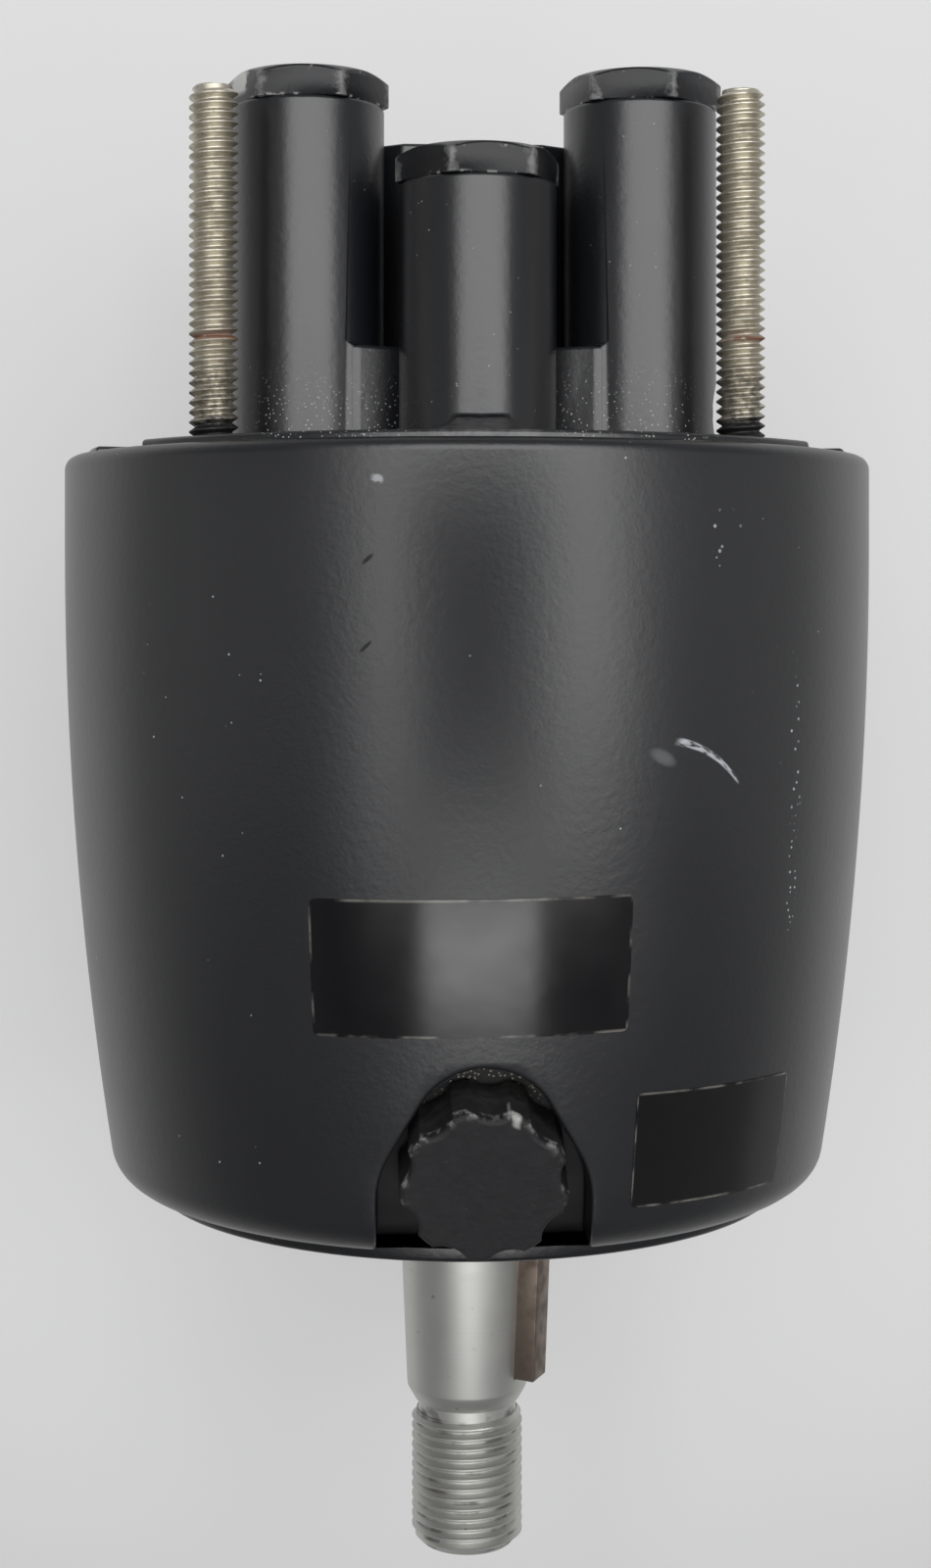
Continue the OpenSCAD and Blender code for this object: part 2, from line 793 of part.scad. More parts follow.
module key_box(gap) {
    depth = key_w - key_proud;
    translate([-key_w / 2 - gap, -depth - gap, -gap])
        cube([key_w + 2 * gap, key_w + 2 * gap, key_len + 2 * gap]);
}

module rotor_key_box(gap) {
    w = rotor_key_w + 2 * gap;
    translate([-w / 2, -rotor_seat_r - w / 2, rotor_z + rotor_key_back]) cube([w, w, rotor_key_len]);
}

module shaft() {
    groove_z = rotor_end_z + fit_gap;
    color(bright_steel) stand() difference() {
        union() {
            rod(journal_r, journal_end_z, plate_z + overlap);
            rod(plate_seat_r, plate_z, rotor_z + overlap);
            rod(rotor_seat_r, rotor_z, bearing_z);
            rod(bearing_ri, bearing_z - overlap, bearing_z + bearing_w);
            rod(shaft_r, bearing_z + bearing_w - overlap, taper_z);
            translate([0, 0, taper_z]) cylinder(r1 = shaft_r, r2 = taper_end_r, h = taper_len);
            rod(nut_thread_r - groove_depth, taper_end_z - overlap, thread_z + overlap);
            rod(nut_thread_r, thread_z, shaft_end_z - end_chamfer);
            translate([0, 0, shaft_end_z - end_chamfer])
                cylinder(r1 = nut_thread_r, r2 = nut_thread_r - end_chamfer, h = end_chamfer);
        }
        at_key() key_box(fit_gap);
        rotor_key_box(fit_gap);
        tube(rotor_seat_r + overlap, ring_groove_r, groove_z, groove_z + ring_t + 2 * fit_gap);
    }
}

module shaft_key() {
    color(stud_steel) stand() at_key() key_box(0);
}

module lip_seal() {
    color(rubber) stand() tube(seal_ro, shaft_r + fit_gap, seal_z, shoulder_z);
}

module rear_bush() {
    color(bronze) stand() tube(bush_ro, journal_r + fit_gap, journal_end_z, block_z);
}

// Pump
module kidney(turn) {
    rotate(turn - kidney_angle / 2) rotate_extrude(angle = kidney_angle)
        translate([piston_ring_r - rotor_port_r, block_z - overlap])
        square([2 * rotor_port_r, plate_t + 2 * overlap]);
}

module valve_plate() {
    color(bronze) stand() difference() {
        tube(chamber_r - plate_gap, plate_seat_r, block_z, plate_z);
        kidney(0);
        kidney(180);
    }
}

module at_piston(i) {
    on_ring(piston_ring_r, 360 * i / piston_count) children();
}

module rotor() {
    color(raw_alloy) stand() difference() {
        tube(rotor_r, rotor_seat_r + fit_gap, rotor_z, rotor_end_z);
        for (i = [0 : piston_count - 1]) {
            at_piston(i) rod(piston_r + fit_gap, bore_z, rotor_end_z + overlap);
            at_piston(i) rod(rotor_port_r, rotor_z - overlap, bore_z + overlap);
        }
        rotor_key_box(fit_gap);
    }
}

module rotor_key() {
    color(stud_steel) stand() rotor_key_box(0);
}

module rotor_ring() {
    seat_z = rotor_end_z + 2 * fit_gap;
    color(stud_steel) stand() difference() {
        tube(ring_r, ring_groove_r + fit_gap, seat_z, seat_z + ring_t);
        translate([-ring_mouth / 2, 0, seat_z - overlap]) cube([ring_mouth, ring_r + overlap, 2 * ring_t]);
    }
}

module piston(i) {
    color(bright_steel) stand() at_piston(i) difference() {
        intersection() {
            rod(piston_r, piston_tail_z, nose_c_z + nose_r);
            union() {
                translate([0, 0, nose_c_z]) sphere(r = nose_r);
                rod(piston_r + overlap, piston_tail_z - overlap, nose_c_z);
            }
        }
        rod(piston_hollow_r, piston_tail_z - overlap, piston_hollow_end_z);
    }
}

module piston_springs() {
    color(bright_steel) stand() for (i = [0 : piston_count - 1]) {
        at_piston(i) tube(piston_spring_ro, piston_spring_ro - piston_spring_t, bore_z, piston_hollow_end_z);
    }
}

module swash_block() {
    boss_x = filler_boss_r + overlap;
    color(raw_alloy) stand() difference() {
        intersection() {
            rod(swash_block_r, rotor_z, wall_z);
            at_swash() translate([-barrel_r, -2 * barrel_r, swash_stack])
                cube([2 * barrel_r, 4 * barrel_r, barrel_len]);
        }
        rod(bearing_boss_r + overlap, rotor_z, wall_z + overlap);
        translate([-boss_x, filler_end_y - overlap, pocket_z - boss_x])
            cube([2 * boss_x, chamber_r, barrel_len]);
        for (side = [-1, 1]) {
            at_swash_pin(side) rod(swash_pin_r + fit_gap, rotor_z, wall_z + overlap);
        }
    }
}

module swash_pin(side) {
    color(bright_steel) stand() at_swash_pin(side)
        rod(swash_pin_r, wall_z - swash_pin_out, wall_z + swash_pin_in);
}

module race(z0) {
    difference() {
        tube(race_ro, race_ri, z0, z0 + race_t);
        translate([0, 0, ball_z]) o_ring(ball_ring_r, 2 * groove_r);
    }
}

module swash_race_moving() {
    color(bright_steel) stand() at_swash() race(0);
}

module swash_race_fixed() {
    color(bright_steel) stand() at_swash() race(swash_stack - race_t);
}

module at_ball(i) {
    on_ring(ball_ring_r, 360 * i / ball_count) children();
}

module swash_cage() {
    color(bronze) stand() at_swash() difference() {
        tube(race_ro - cage_inset, race_ri + cage_inset, ball_z - cage_t / 2, ball_z + cage_t / 2);
        for (i = [0 : ball_count - 1]) {
            at_ball(i) rod(ball_r + fit_gap, 0, swash_stack);
        }
    }
}

module swash_balls() {
    color(bright_steel) stand() at_swash() for (i = [0 : ball_count - 1]) {
        at_ball(i) translate([0, 0, ball_z]) sphere(r = ball_r);
    }
}

// Front bearing
module bearing_ring(ro, ri) {
    difference() {
        tube(ro, ri, bearing_z, bearing_z + bearing_w);
        translate([0, 0, bearing_mid_z]) o_ring(bearing_pitch_r, 2 * (bearing_ball_r + run_gap));
    }
}

module bearing_outer() {
    color(bright_steel) stand() bearing_ring(bearing_ro, bearing_ro - bearing_ring_t);
}

module bearing_inner() {
    color(bright_steel) stand() bearing_ring(bearing_ri + bearing_ring_t, bearing_ri + fit_gap);
}

module bearing_cage() {
    half = bearing_ball_r + overlap;
    half_t = bearing_cage_t / 2;
    color(bronze) stand() translate([0, 0, bearing_mid_z]) difference() {
        tube(bearing_pitch_r + half_t, bearing_pitch_r - half_t, -half, half);
        for (i = [0 : bearing_ball_count - 1]) {
            rotate(360 * i / bearing_ball_count) rotate([0, 90, 0])
                cylinder(r = bearing_ball_r + fit_gap, h = bearing_ro);
        }
    }
}

module bearing_balls() {
    color(bright_steel) stand() for (i = [0 : bearing_ball_count - 1]) {
        rotate(360 * i / bearing_ball_count) translate([bearing_pitch_r, 0, bearing_mid_z])
            sphere(r = bearing_ball_r);
    }
}

barrel();
front_cover();
rear_block();
valve_block();
bush_cap();
hose_collar(-1);  // hose_collar_port
hose_collar(1);  // hose_collar_stbd
rear_seal();
lip_seal();
rear_bush();
valve_plate();
for (i = [0 : 3]) {
    stud(i);
    rear_screw(i);
    cover_screw(i);
}
plug(-1);  // plug_port
plug(0);  // plug_middle
plug(1);  // plug_stbd
plug_seal(-1);  // plug_seal_port
plug_seal(0);  // plug_seal_middle
plug_seal(1);  // plug_seal_stbd
for (i = [0, 1]) {
    check_seat(2 * i - 1);
    check_poppet(2 * i - 1);
    check_spring(2 * i - 1);
    swash_pin(2 * i - 1);
}
shuttle_spool();
spool_plug();
filler_cap();
filler_seal();
shaft();
shaft_key();
rotor();
rotor_key();
rotor_ring();
for (i = [0 : piston_count - 1]) {
    piston(i);
}
piston_springs();
swash_block();
swash_race_fixed();
swash_race_moving();
swash_cage();
swash_balls();
bearing_outer();
bearing_inner();
bearing_cage();
bearing_balls();
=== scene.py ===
# %% [markdown]
# # A boat steering helm in Blender
# A hydraulic helm is a short, heavy barrel that bolts to a dash. A tapered shaft at its front takes the
# steering wheel, and a casting at its back holds the valves. The solid model is already packed, so this
# lesson loads it as a fixed frame, and then dresses it: every piece that shows is modelled again with the
# rounds, threads and worn paint of the real one.

# %% Load the frame
import json
from math import atan, cos, degrees, pi, radians, sin, sqrt

import bmesh
import bpy
from mathutils import Matrix, Vector


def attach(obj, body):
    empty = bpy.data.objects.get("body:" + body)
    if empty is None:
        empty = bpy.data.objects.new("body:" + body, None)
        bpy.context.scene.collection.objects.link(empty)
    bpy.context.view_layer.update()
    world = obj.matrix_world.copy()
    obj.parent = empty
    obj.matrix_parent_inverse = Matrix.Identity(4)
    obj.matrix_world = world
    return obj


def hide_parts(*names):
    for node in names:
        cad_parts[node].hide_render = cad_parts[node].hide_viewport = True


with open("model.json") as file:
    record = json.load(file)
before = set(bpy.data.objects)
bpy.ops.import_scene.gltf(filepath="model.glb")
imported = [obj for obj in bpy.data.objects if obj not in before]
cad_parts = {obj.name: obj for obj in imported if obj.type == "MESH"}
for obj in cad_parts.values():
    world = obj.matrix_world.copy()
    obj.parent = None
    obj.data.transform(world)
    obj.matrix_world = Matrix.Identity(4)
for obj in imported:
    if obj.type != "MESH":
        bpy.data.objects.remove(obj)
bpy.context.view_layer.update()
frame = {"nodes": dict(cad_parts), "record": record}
scene = bpy.context.scene

# %% [markdown]
# ## Places on the helm
# A helm's drawing gives three numbers for a place: how far to starboard, how far in front of the mounting
# pads, and how far up from the shaft's axis. Blender's scene is in metres with Y pointing back, so one small
# function turns the drawing's millimetres into a Blender vector, and every other place goes through it.

# %% Millimetres
MM = 0.001
BARREL_R, RIM, SHOULDER, COVER = 57.3, 1.0, 102.4, 104.2
STUD_RING = 48.5


def place(across, front, up):
    return Vector((across, -front, up)) * MM


def on_ring(radius, turn, front=0):
    return place(radius * sin(radians(turn)), front, radius * cos(radians(turn)))


print("a stud stands at", [round(v, 4) for v in on_ring(STUD_RING, 45)])

# %% [markdown]
# ## The camera
# The helm lies on its side and is seen from straight above, at about a third of a metre, so its far rim is
# much narrower than its top. A long lens from further away would flatten that, so the distance and the lens
# are kept together. The picture's middle isn't where the lens points: a shift slides the frame down.

# %% Camera
ASIDE, DISTANCE, AIM_F = radians(2.5), 0.340, 19.4
camera = bpy.data.objects.new("camera", bpy.data.cameras.new("camera"))
scene.collection.objects.link(camera)
look = Matrix(((cos(ASIDE), 0, -sin(ASIDE)), (0, 1, 0), (sin(ASIDE), 0, cos(ASIDE))))
camera.matrix_world = Matrix.LocRotScale(look @ Vector((0, 0, DISTANCE)) + place(0, AIM_F, 0), look, None)
camera.data.lens = 54
camera.data.shift_x, camera.data.shift_y = -0.0009, -0.125
camera.data.clip_start = 0.01
scene.camera = camera
scene.view_settings.view_transform = "Standard"
print("camera at", [round(v, 4) for v in camera.matrix_world.translation])

# %% [markdown]
# ## Shader sums
# A shader is a web of nodes, and sums drawn as boxes are hard to read. Wire wraps a socket so that Python's own
# operators add the Math nodes, and Finish holds one material. Its node method makes any other node: settings go
# in first because they decide which sockets the node has, and then values or wires go into the sockets.

# %% Wires and finishes
class Wire:
    def __init__(self, finish, socket):
        self.finish, self.socket = finish, socket

    def sum(self, operation, *others, turned=False):
        terms = (*others, self) if turned else (self, *others)
        return self.finish.node("ShaderNodeMath", {"operation": operation}, dict(enumerate(terms)))

    def __add__(self, other): return self.sum("ADD", other)
    def __sub__(self, other): return self.sum("SUBTRACT", other)
    def __mul__(self, other): return self.sum("MULTIPLY", other)
    def __truediv__(self, other): return self.sum("DIVIDE", other)
    def __pow__(self, other): return self.sum("POWER", other)
    def __rsub__(self, other): return self.sum("SUBTRACT", other, turned=True)
    def __abs__(self): return self.sum("ABSOLUTE")
    __radd__, __rmul__ = __add__, __mul__


class Finish:
    def __init__(self, name, constants):
        self.material = bpy.data.materials.new(name)
        self.material.use_nodes = True
        self.tree = self.material.node_tree
        self.shader = self.tree.nodes["Principled BSDF"]
        for key, value in constants.items():
            self.shader.inputs[key].default_value = value
        self.where = self.node("ShaderNodeTexCoord", {}, {}, "Object")
        self.x, self.y, self.z = self.split(self.where)

    def node(self, kind, settings, sockets, output=0):
        made = self.tree.nodes.new(kind)
        for key, value in settings.items():
            setattr(made, key, value)
        for key, value in sockets.items():
            self.feed(made, key, value)
        shown = [s for s in made.outputs if s.enabled]
        if isinstance(output, str):
            return Wire(self, next(s for s in shown if s.name == output))
        return Wire(self, shown[output])

    def feed(self, made, key, value):
        shown = [s for s in made.inputs if s.enabled]
        socket = shown[key] if isinstance(key, int) else next(s for s in shown if s.name == key)
        if isinstance(value, Wire):
            self.tree.links.new(value.socket, socket)
        else:
            socket.default_value = value

    def split(self, vector):
        made = self.tree.nodes.new("ShaderNodeSeparateXYZ")
        self.feed(made, "Vector", vector)
        return [Wire(self, made.outputs[axis]) * 1000 for axis in "XYZ"]

    def noise(self, size, detail=2.0, vector=None, seed=0.0):
        return self.node("ShaderNodeTexNoise", {"noise_dimensions": "4D"}, {
            "Vector": vector or self.where, "W": seed, "Scale": 1000 / size, "Detail": detail}, "Fac")

    def banded(self, scale, detail):
        return self.node("ShaderNodeTexNoise", {"noise_dimensions": "1D"}, {
            "W": self.y, "Scale": scale, "Detail": detail}, "Fac")

    def specks(self, size):
        return self.node("ShaderNodeTexVoronoi", {}, {"Vector": self.where, "Scale": 1000 / size}, "Distance")

    def rise(self, value, low, high):
        return self.node("ShaderNodeMapRange", {"interpolation_type": "SMOOTHSTEP"}, {
            "Value": value, "From Min": low, "From Max": high}, "Result")

    def within(self, value, low, high, soft):
        return self.rise(value, low - soft, low + soft) * self.rise(value, high + soft, high - soft)

    def blend(self, factor, first, second):
        return self.node("ShaderNodeMix", {"data_type": "RGBA"}, {
            "Factor": factor, "A": first, "B": second}, "Result")

    def bump(self, height, depth):
        return self.node("ShaderNodeBump", {}, {"Height": height, "Strength": 1.0, "Distance": depth * MM})

    def wear(self, colour=None, roughness=None, normal=None, metallic=None):
        for key, value in (("Base Color", colour), ("Roughness", roughness), ("Normal", normal),
                           ("Metallic", metallic)):
            if value is not None:
                self.feed(self.shader, key, value)
        return self.material


print("wires add Math nodes, and a finish holds one material")

# %% [markdown]
# ## Floor and light
# The helm lies on pale paper that curves up all round. A spin of one bent line makes that sweep. The paper glows
# a little, as if lit from below: a painted light that lifts the shadows on it. Its colour and glow are painted
# darker away from the helm, a painted falloff. The light is a wide soft panel overhead, which draws a clean band
# along every round piece, and a smaller lamp in front of it. The camera stands under the panel, so the barrel
# mirrors its dark underside as a patch between two bright strips. A dark card at the camera's height does that
# here. Two weak panels at the sides lift the castings' flanks.

# %% Floor, panel and lamp
def drawn(name, bm, material):
    mesh = bpy.data.meshes.new(name)
    bm.to_mesh(mesh)
    bm.free()
    mesh.materials.append(material)
    mesh.shade_smooth()
    made = bpy.data.objects.new(name, mesh)
    scene.collection.objects.link(made)
    return made


# painted light: the paper's emission makes it glow, lifting the shadows that fall on it
paper = Finish("pale_paper", {"Roughness": 0.9, "Specular IOR Level": 0.2, "Emission Strength": 0.38})
# painted falloff: reach fades the paper's glow and colour darker away from the helm
reach = paper.rise((paper.x ** 2 + (paper.y - 50) ** 2) ** 0.5, 180, 370)
paper.feed(paper.shader, "Emission Color", paper.blend(reach, (1, 1, 1, 1), (0.30, 0.30, 0.30, 1)))
near = paper.blend(paper.noise(40, 3), (0.35, 0.35, 0.35, 1), (0.37, 0.37, 0.37, 1))
paper.wear(colour=paper.blend(reach, near, (0.30, 0.30, 0.30, 1)))
FLOOR, FLAT_R, BEND_R, WALL_TOP = -BARREL_R - 0.05, 1700, 500, 2000
bm = bmesh.new()
bend = [bm.verts.new(place(0, 0, FLOOR)), bm.verts.new(place(0, -FLAT_R, FLOOR))]
bend += [bm.verts.new(place(0, -FLAT_R - BEND_R * sin(a), FLOOR + BEND_R - BEND_R * cos(a)))
         for a in (radians(9 * n) for n in range(1, 11))]
bend.append(bm.verts.new(place(0, -FLAT_R - BEND_R, WALL_TOP)))
line = [bm.edges.new(pair) for pair in zip(bend, bend[1:])]
bmesh.ops.spin(bm, geom=bend + line, cent=(0, 0, 0), axis=(0, 0, 1), angle=2 * pi, steps=64, use_merge=True)
bmesh.ops.remove_doubles(bm, verts=bm.verts, dist=1e-6)
drawn("floor", bm, paper.material)


def panel(name, centre, wide, long, radiance, target=(0, 0, 0)):
    lamp = bpy.data.lights.new(name, "AREA")
    lamp.shape, lamp.size, lamp.size_y = "RECTANGLE", wide, long
    lamp.energy = radiance * pi * wide * long
    made = bpy.data.objects.new(name, lamp)
    made.location = centre
    made.rotation_euler = (Vector(centre) - Vector(target)).to_track_quat("Z", "Y").to_euler()
    made.visible_camera = False
    scene.collection.objects.link(made)
    print(name, "gives", round(lamp.energy, 1), "W")


def side_panel(name, centre, long, tall, radiance):
    panel(name, centre, tall, long, radiance, (0, centre[1], centre[2]))


panel("overhead_panel", (0.13, 0.30, 0.95), 1.38, 1.20, 2.95, (0.13, 0.30, 0))
panel("front_lamp", (0.03, -0.48, 1.25), 0.72, 0.16, 5.3, (0.03, -0.48, 0))
side_panel("port_fill", (-1.6, 0, 0.60), 2.4, 0.80, 0.25)
side_panel("stbd_fill", (1.6, 0, 0.65), 2.4, 0.90, 0.26)

card_finish = Finish("dark_card", {"Roughness": 0.9, "Specular IOR Level": 0.0})
card_finish.wear(colour=card_finish.blend(card_finish.noise(20), (0.02, 0.02, 0.02, 1), (0.03, 0.03, 0.03, 1)))
bm = bmesh.new()
bmesh.ops.create_grid(bm, x_segments=1, y_segments=1, size=0.5,
                      matrix=Matrix.LocRotScale(Vector((0, -0.035, 0.35)), None, Vector((0.215, 0.20, 1))))
card = drawn("camera_card", bm, card_finish.material)
card.visible_camera = card.visible_diffuse = False

world = bpy.data.worlds.new("studio")
scene.world = world
world.use_nodes = True
world.node_tree.nodes["Background"].inputs["Color"].default_value = (0.08, 0.08, 0.085, 1)
print("floor at", round(FLOOR, 2), "mm")

# %% [markdown]
# ## Black paint
# The castings wear satin black paint. It isn't quite black: sprayed paint dries with a fine orange peel, and
# handling leaves dust, pale specks and a few rubs. Noise in millimetres gives the peel, Voronoi cells the
# specks, and each casting may add marks of its own before the colours are joined.

# %% Paint
GREY_CHIP = (0.42, 0.42, 0.41, 1)


def paint(name, speck_size=2.2, speck_reach=0.045, shine=0.72, rough=0.26):
    coat = Finish(name, {"Specular IOR Level": shine})
    patchy = coat.noise(18, 4)
    coat.base = coat.blend(patchy, (0.0048, 0.0054, 0.0072, 1), (0.0078, 0.0086, 0.0108, 1))
    dust = coat.rise(coat.noise(0.5, 3, seed=2.0), 0.62, 0.80) * coat.rise(coat.noise(9, 2, seed=5.0), 0.48, 0.70)
    coat.base = coat.blend(dust * 0.22, coat.base, (0.10, 0.10, 0.10, 1))
    speck = coat.rise(coat.specks(speck_size), speck_reach, speck_reach * 0.5)
    coat.marks = speck * coat.rise(coat.noise(14, 2, seed=9.0), 0.50, 0.62) * 0.8
    coat.gloss = rough + 0.07 * patchy + 0.10 * dust
    coat.peel = coat.noise(1.1, 2) * 0.7 + coat.noise(0.35, 2, seed=4.0) * 0.3
    return coat


def dried(coat, chip=GREY_CHIP):
    shown = coat.marks.sum("MINIMUM", 1.0)
    return coat.wear(colour=coat.blend(shown, coat.base, chip), roughness=coat.gloss + 0.25 * shown,
                     normal=coat.bump(coat.peel, 0.045))


casting_paint = paint("casting_paint")
casting_black = dried(casting_paint)
print("casting paint has", len(casting_paint.tree.nodes), "nodes")

# %% [markdown]
# ## Turning and joining
# Most of a helm comes off a lathe. In Blender that is a spin: half of the section is drawn once, beside the
# axis, and spun round it. Castings join several such shapes, which the Boolean modifier does on two throwaway
# objects. A helper bevels each edge that is sharp enough to catch light on the real part, and a few short ones
# sweep a face, fill the open ends, and turn or move a finished shape.

# %% Lathe, Boolean, bevel
def arc(centre_r, centre_f, radius, first, last, count):
    angles = [radians(first + (last - first) * n / count) for n in range(count + 1)]
    return [(centre_r + radius * cos(a), centre_f + radius * sin(a)) for a in angles]


def closed(bm, reach=2e-6):
    bmesh.ops.remove_doubles(bm, verts=bm.verts, dist=reach)
    bmesh.ops.dissolve_degenerate(bm, edges=bm.edges, dist=1e-7)
    bmesh.ops.recalc_face_normals(bm, faces=bm.faces)
    return bm


def lathe(section, steps=64, centre=(0, 0, 0)):
    bm = bmesh.new()
    corners = [bm.verts.new(place(0, front, radius)) for radius, front in section]
    sides = [bm.edges.new(pair) for pair in zip(corners, corners[1:] + corners[:1])]
    bmesh.ops.spin(bm, geom=corners + sides, cent=(0, 0, 0), axis=(0, 1, 0), angle=2 * pi, steps=steps,
                   use_merge=True)
    bmesh.ops.translate(bm, verts=bm.verts, vec=centre)
    return closed(bm)


def rod(radius, back, front, steps=48, centre=(0, 0, 0)):
    return lathe([(0, back), (radius, back), (radius, front), (0, front)], steps, centre)


def drum(radius, depth, segments, matrix):
    bm = bmesh.new()
    bmesh.ops.create_cone(bm, cap_ends=True, segments=segments, radius1=radius * MM, radius2=radius * MM,
                          depth=depth * MM, matrix=matrix)
    return bm


def swept(bm, vec):
    grown = bmesh.ops.extrude_face_region(bm, geom=bm.faces[:])["geom"]
    bmesh.ops.translate(bm, verts=[v for v in grown if isinstance(v, bmesh.types.BMVert)], vec=vec)


def capped(bm):
    bmesh.ops.holes_fill(bm, edges=[e for e in bm.edges if e.is_boundary])


def moved(bm, vec):
    bmesh.ops.translate(bm, verts=bm.verts, vec=vec)
    return bm


def swung(bm, turn, axis="Y"):
    bmesh.ops.rotate(bm, verts=bm.verts, cent=(0, 0, 0), matrix=Matrix.Rotation(radians(turn), 3, axis))
    return bm


def combine(bm, others, operation):
    for other in others:
        first, second = drawn("first", bm, casting_black), drawn("second", other, casting_black)
        cut = first.modifiers.new("cut", "BOOLEAN")
        cut.operation, cut.solver, cut.object = operation, "EXACT", second
        bpy.context.view_layer.update()
        bm = bmesh.new()
        bm.from_object(first, bpy.context.evaluated_depsgraph_get())
        for used in (first, second):
            mesh = used.data
            bpy.data.objects.remove(used)
            bpy.data.meshes.remove(mesh)
        closed(bm)
    return bm


def soften(bm, width, segments=2, angle=32, where=None, merge=True):
    if merge:
        bmesh.ops.dissolve_limit(bm, angle_limit=radians(0.05), verts=bm.verts, edges=bm.edges)
    sharp = [e for e in bm.edges if e.is_manifold and e.calc_face_angle(0) > radians(angle)
             and (where is None or all(where(v.co / MM) for v in e.verts))]
    bmesh.ops.bevel(bm, geom=sharp, offset=width * MM, offset_type="OFFSET", affect="EDGES", segments=segments,
                    profile=0.5, material=-1, clamp_overlap=False)
    return closed(bm, 1e-5)


def piece(name, bm, material, body, slot, *nodes, sharp=38):
    made = drawn(name, bm, material)
    made.data.set_sharp_from_angle(angle=radians(sharp))
    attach(made, body)
    if nodes:
        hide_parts(*nodes)
    print(name, len(made.data.polygons), "faces")
    return made


def joined(*parts):
    whole = bmesh.new()
    for part in parts:
        mesh = bpy.data.meshes.new("part")
        part.to_mesh(mesh)
        part.free()
        whole.from_mesh(mesh)
        bpy.data.meshes.remove(mesh)
    return whole


print("a turned washer has", len(lathe([(3, 0), (6, 0), (6, 1), (3, 1)]).faces), "faces")

# %% [markdown]
# ## The barrel
# The barrel is one aluminium casting, turned outside: a rounded rim, a wall that leans in along a very large arc,
# and a rounded shoulder. Its section is hollow, with a seat for the rear casting and a bored front wall. The
# filler sits in a scooped pocket, open to the front, on a boss inside. The boss is cut to the barrel's own
# outline with a slightly smaller lathe, so nothing shows outside.

# %% Barrel shape
CROWN_C, CROWN_R, CROWN_F = -489.7, 547.0, 13.6
CROWN_A = 8.894
RIM_ROUND, SHOULDER_ROUND = 1.8, 5
SEAL_BORE_R, FILLER_BOSS_R, SKIN = 12.5, 16.35, 0.4
FILLER_F, POCKET_R, POCKET_DEEP = 95.65, 13.35, 9.4
POCKET_REAR_F, POCKET_REAR_R = 87.15, 9.1
TILT = radians(18)
KNOB_TOP = place(0, 93.3, 51)
filler_frame = Matrix.Translation(KNOB_TOP) @ Matrix.Rotation(TILT, 4, "X")


def outside(inset, count=20):
    return (arc(BARREL_R - RIM_ROUND, RIM + RIM_ROUND, RIM_ROUND - inset, -90, 0, 5)
            + arc(CROWN_C, CROWN_F, CROWN_R - inset, 0, CROWN_A, count)
            + arc(45.78, SHOULDER - SHOULDER_ROUND, SHOULDER_ROUND - inset, CROWN_A, 90, 8)[1:])


bores = [(16.05, SHOULDER), (16.05, 97.2), (SEAL_BORE_R, 97.2), (SEAL_BORE_R, 95.2), (21.05, 95.2), (21.05, 83.2)]
chamber = [(25, 83.2), (25, 93), (46, 93), (46, 11), (54.05, 11), (54.05, RIM)]
shell = lathe(outside(0) + bores + chamber, 144)
boss = drum(FILLER_BOSS_R, 30, 48, Matrix.Translation(place(0, 91.4, 48.5)))
skin = lathe([(0, RIM + SKIN)] + outside(SKIN, 6) + [(0, SHOULDER - SKIN)], 72)
boss = combine(boss, [skin], "INTERSECT")

pocket = bmesh.new()
bmesh.ops.create_circle(pocket, cap_ends=True, segments=144, radius=POCKET_R * MM,
                        matrix=Matrix.Translation(place(0, FILLER_F, 25)))
for v in pocket.verts:
    ahead = -v.co.y / MM
    if ahead > FILLER_F + 0.05:
        v.co.y = -120 * MM
    elif ahead < FILLER_F - POCKET_R / 2:
        v.co.x *= POCKET_REAR_R / POCKET_R
        v.co.y = -(POCKET_REAR_F + (ahead - FILLER_F) * POCKET_REAR_R / POCKET_R) * MM
swept(pocket, place(0, 0, 40))
bmesh.ops.bisect_plane(pocket, geom=pocket.verts[:] + pocket.edges[:] + pocket.faces[:], dist=1e-7,
                       plane_co=filler_frame @ place(0, 0, -POCKET_DEEP),
                       plane_no=filler_frame.to_3x3() @ Vector((0, 0, 1)), clear_inner=True)
capped(pocket)
closed(pocket)
filler_hole = drum(7.05, 14, 40, filler_frame @ Matrix.Translation(place(0, 0, -14.1)))
shell = combine(combine(shell, [boss], "UNION"), [pocket, filler_hole], "DIFFERENCE")
near_pocket = [v for v in shell.verts if v.co.z > 30 * MM and v.co.y < -70 * MM]
bmesh.ops.remove_doubles(shell, verts=near_pocket, dist=0.12 * MM)
shell = soften(shell, 0.5, 3, 40, lambda spot: spot.z > 30 and -spot.y > 70 and abs(spot.x) < 15
               and Vector((spot.x, spot.z)).length > 33.6)
print("barrel shell has", len(shell.verts), "corners")

# %% [markdown]
# ## The barrel's paint
# The barrel is the piece that hands and tools touch. Its marks are placed by the two numbers that a turned
# surface has: the angle round it, where one degree is one millimetre on this barrel, and the distance in front
# of the pads. Each rub is a soft-edged patch broken up by noise, and grit has gathered in the filler's pocket.

# %% Barrel finish
barrel_paint = paint("barrel_paint", 3.2, 0.055, shine=0.88, rough=0.31)
p = barrel_paint
turn = p.x.sum("ARCTAN2", p.z) * degrees(1)
front = p.y * -1
grain = p.noise(0.7, 3, seed=3.0)


def patch(at_turn, at_front, wide, long, lean=0, soft=0.2):
    aside, ahead = turn - at_turn, front - at_front
    along = (aside * cos(radians(lean)) + ahead * sin(radians(lean))) / wide
    over = (ahead * cos(radians(lean)) - aside * sin(radians(lean))) / long
    return p.rise(along * along + over * over, 1.0, soft)


def dots(area, size, reach):
    return area * p.rise(p.specks(size), reach, reach * 0.5) * 0.8


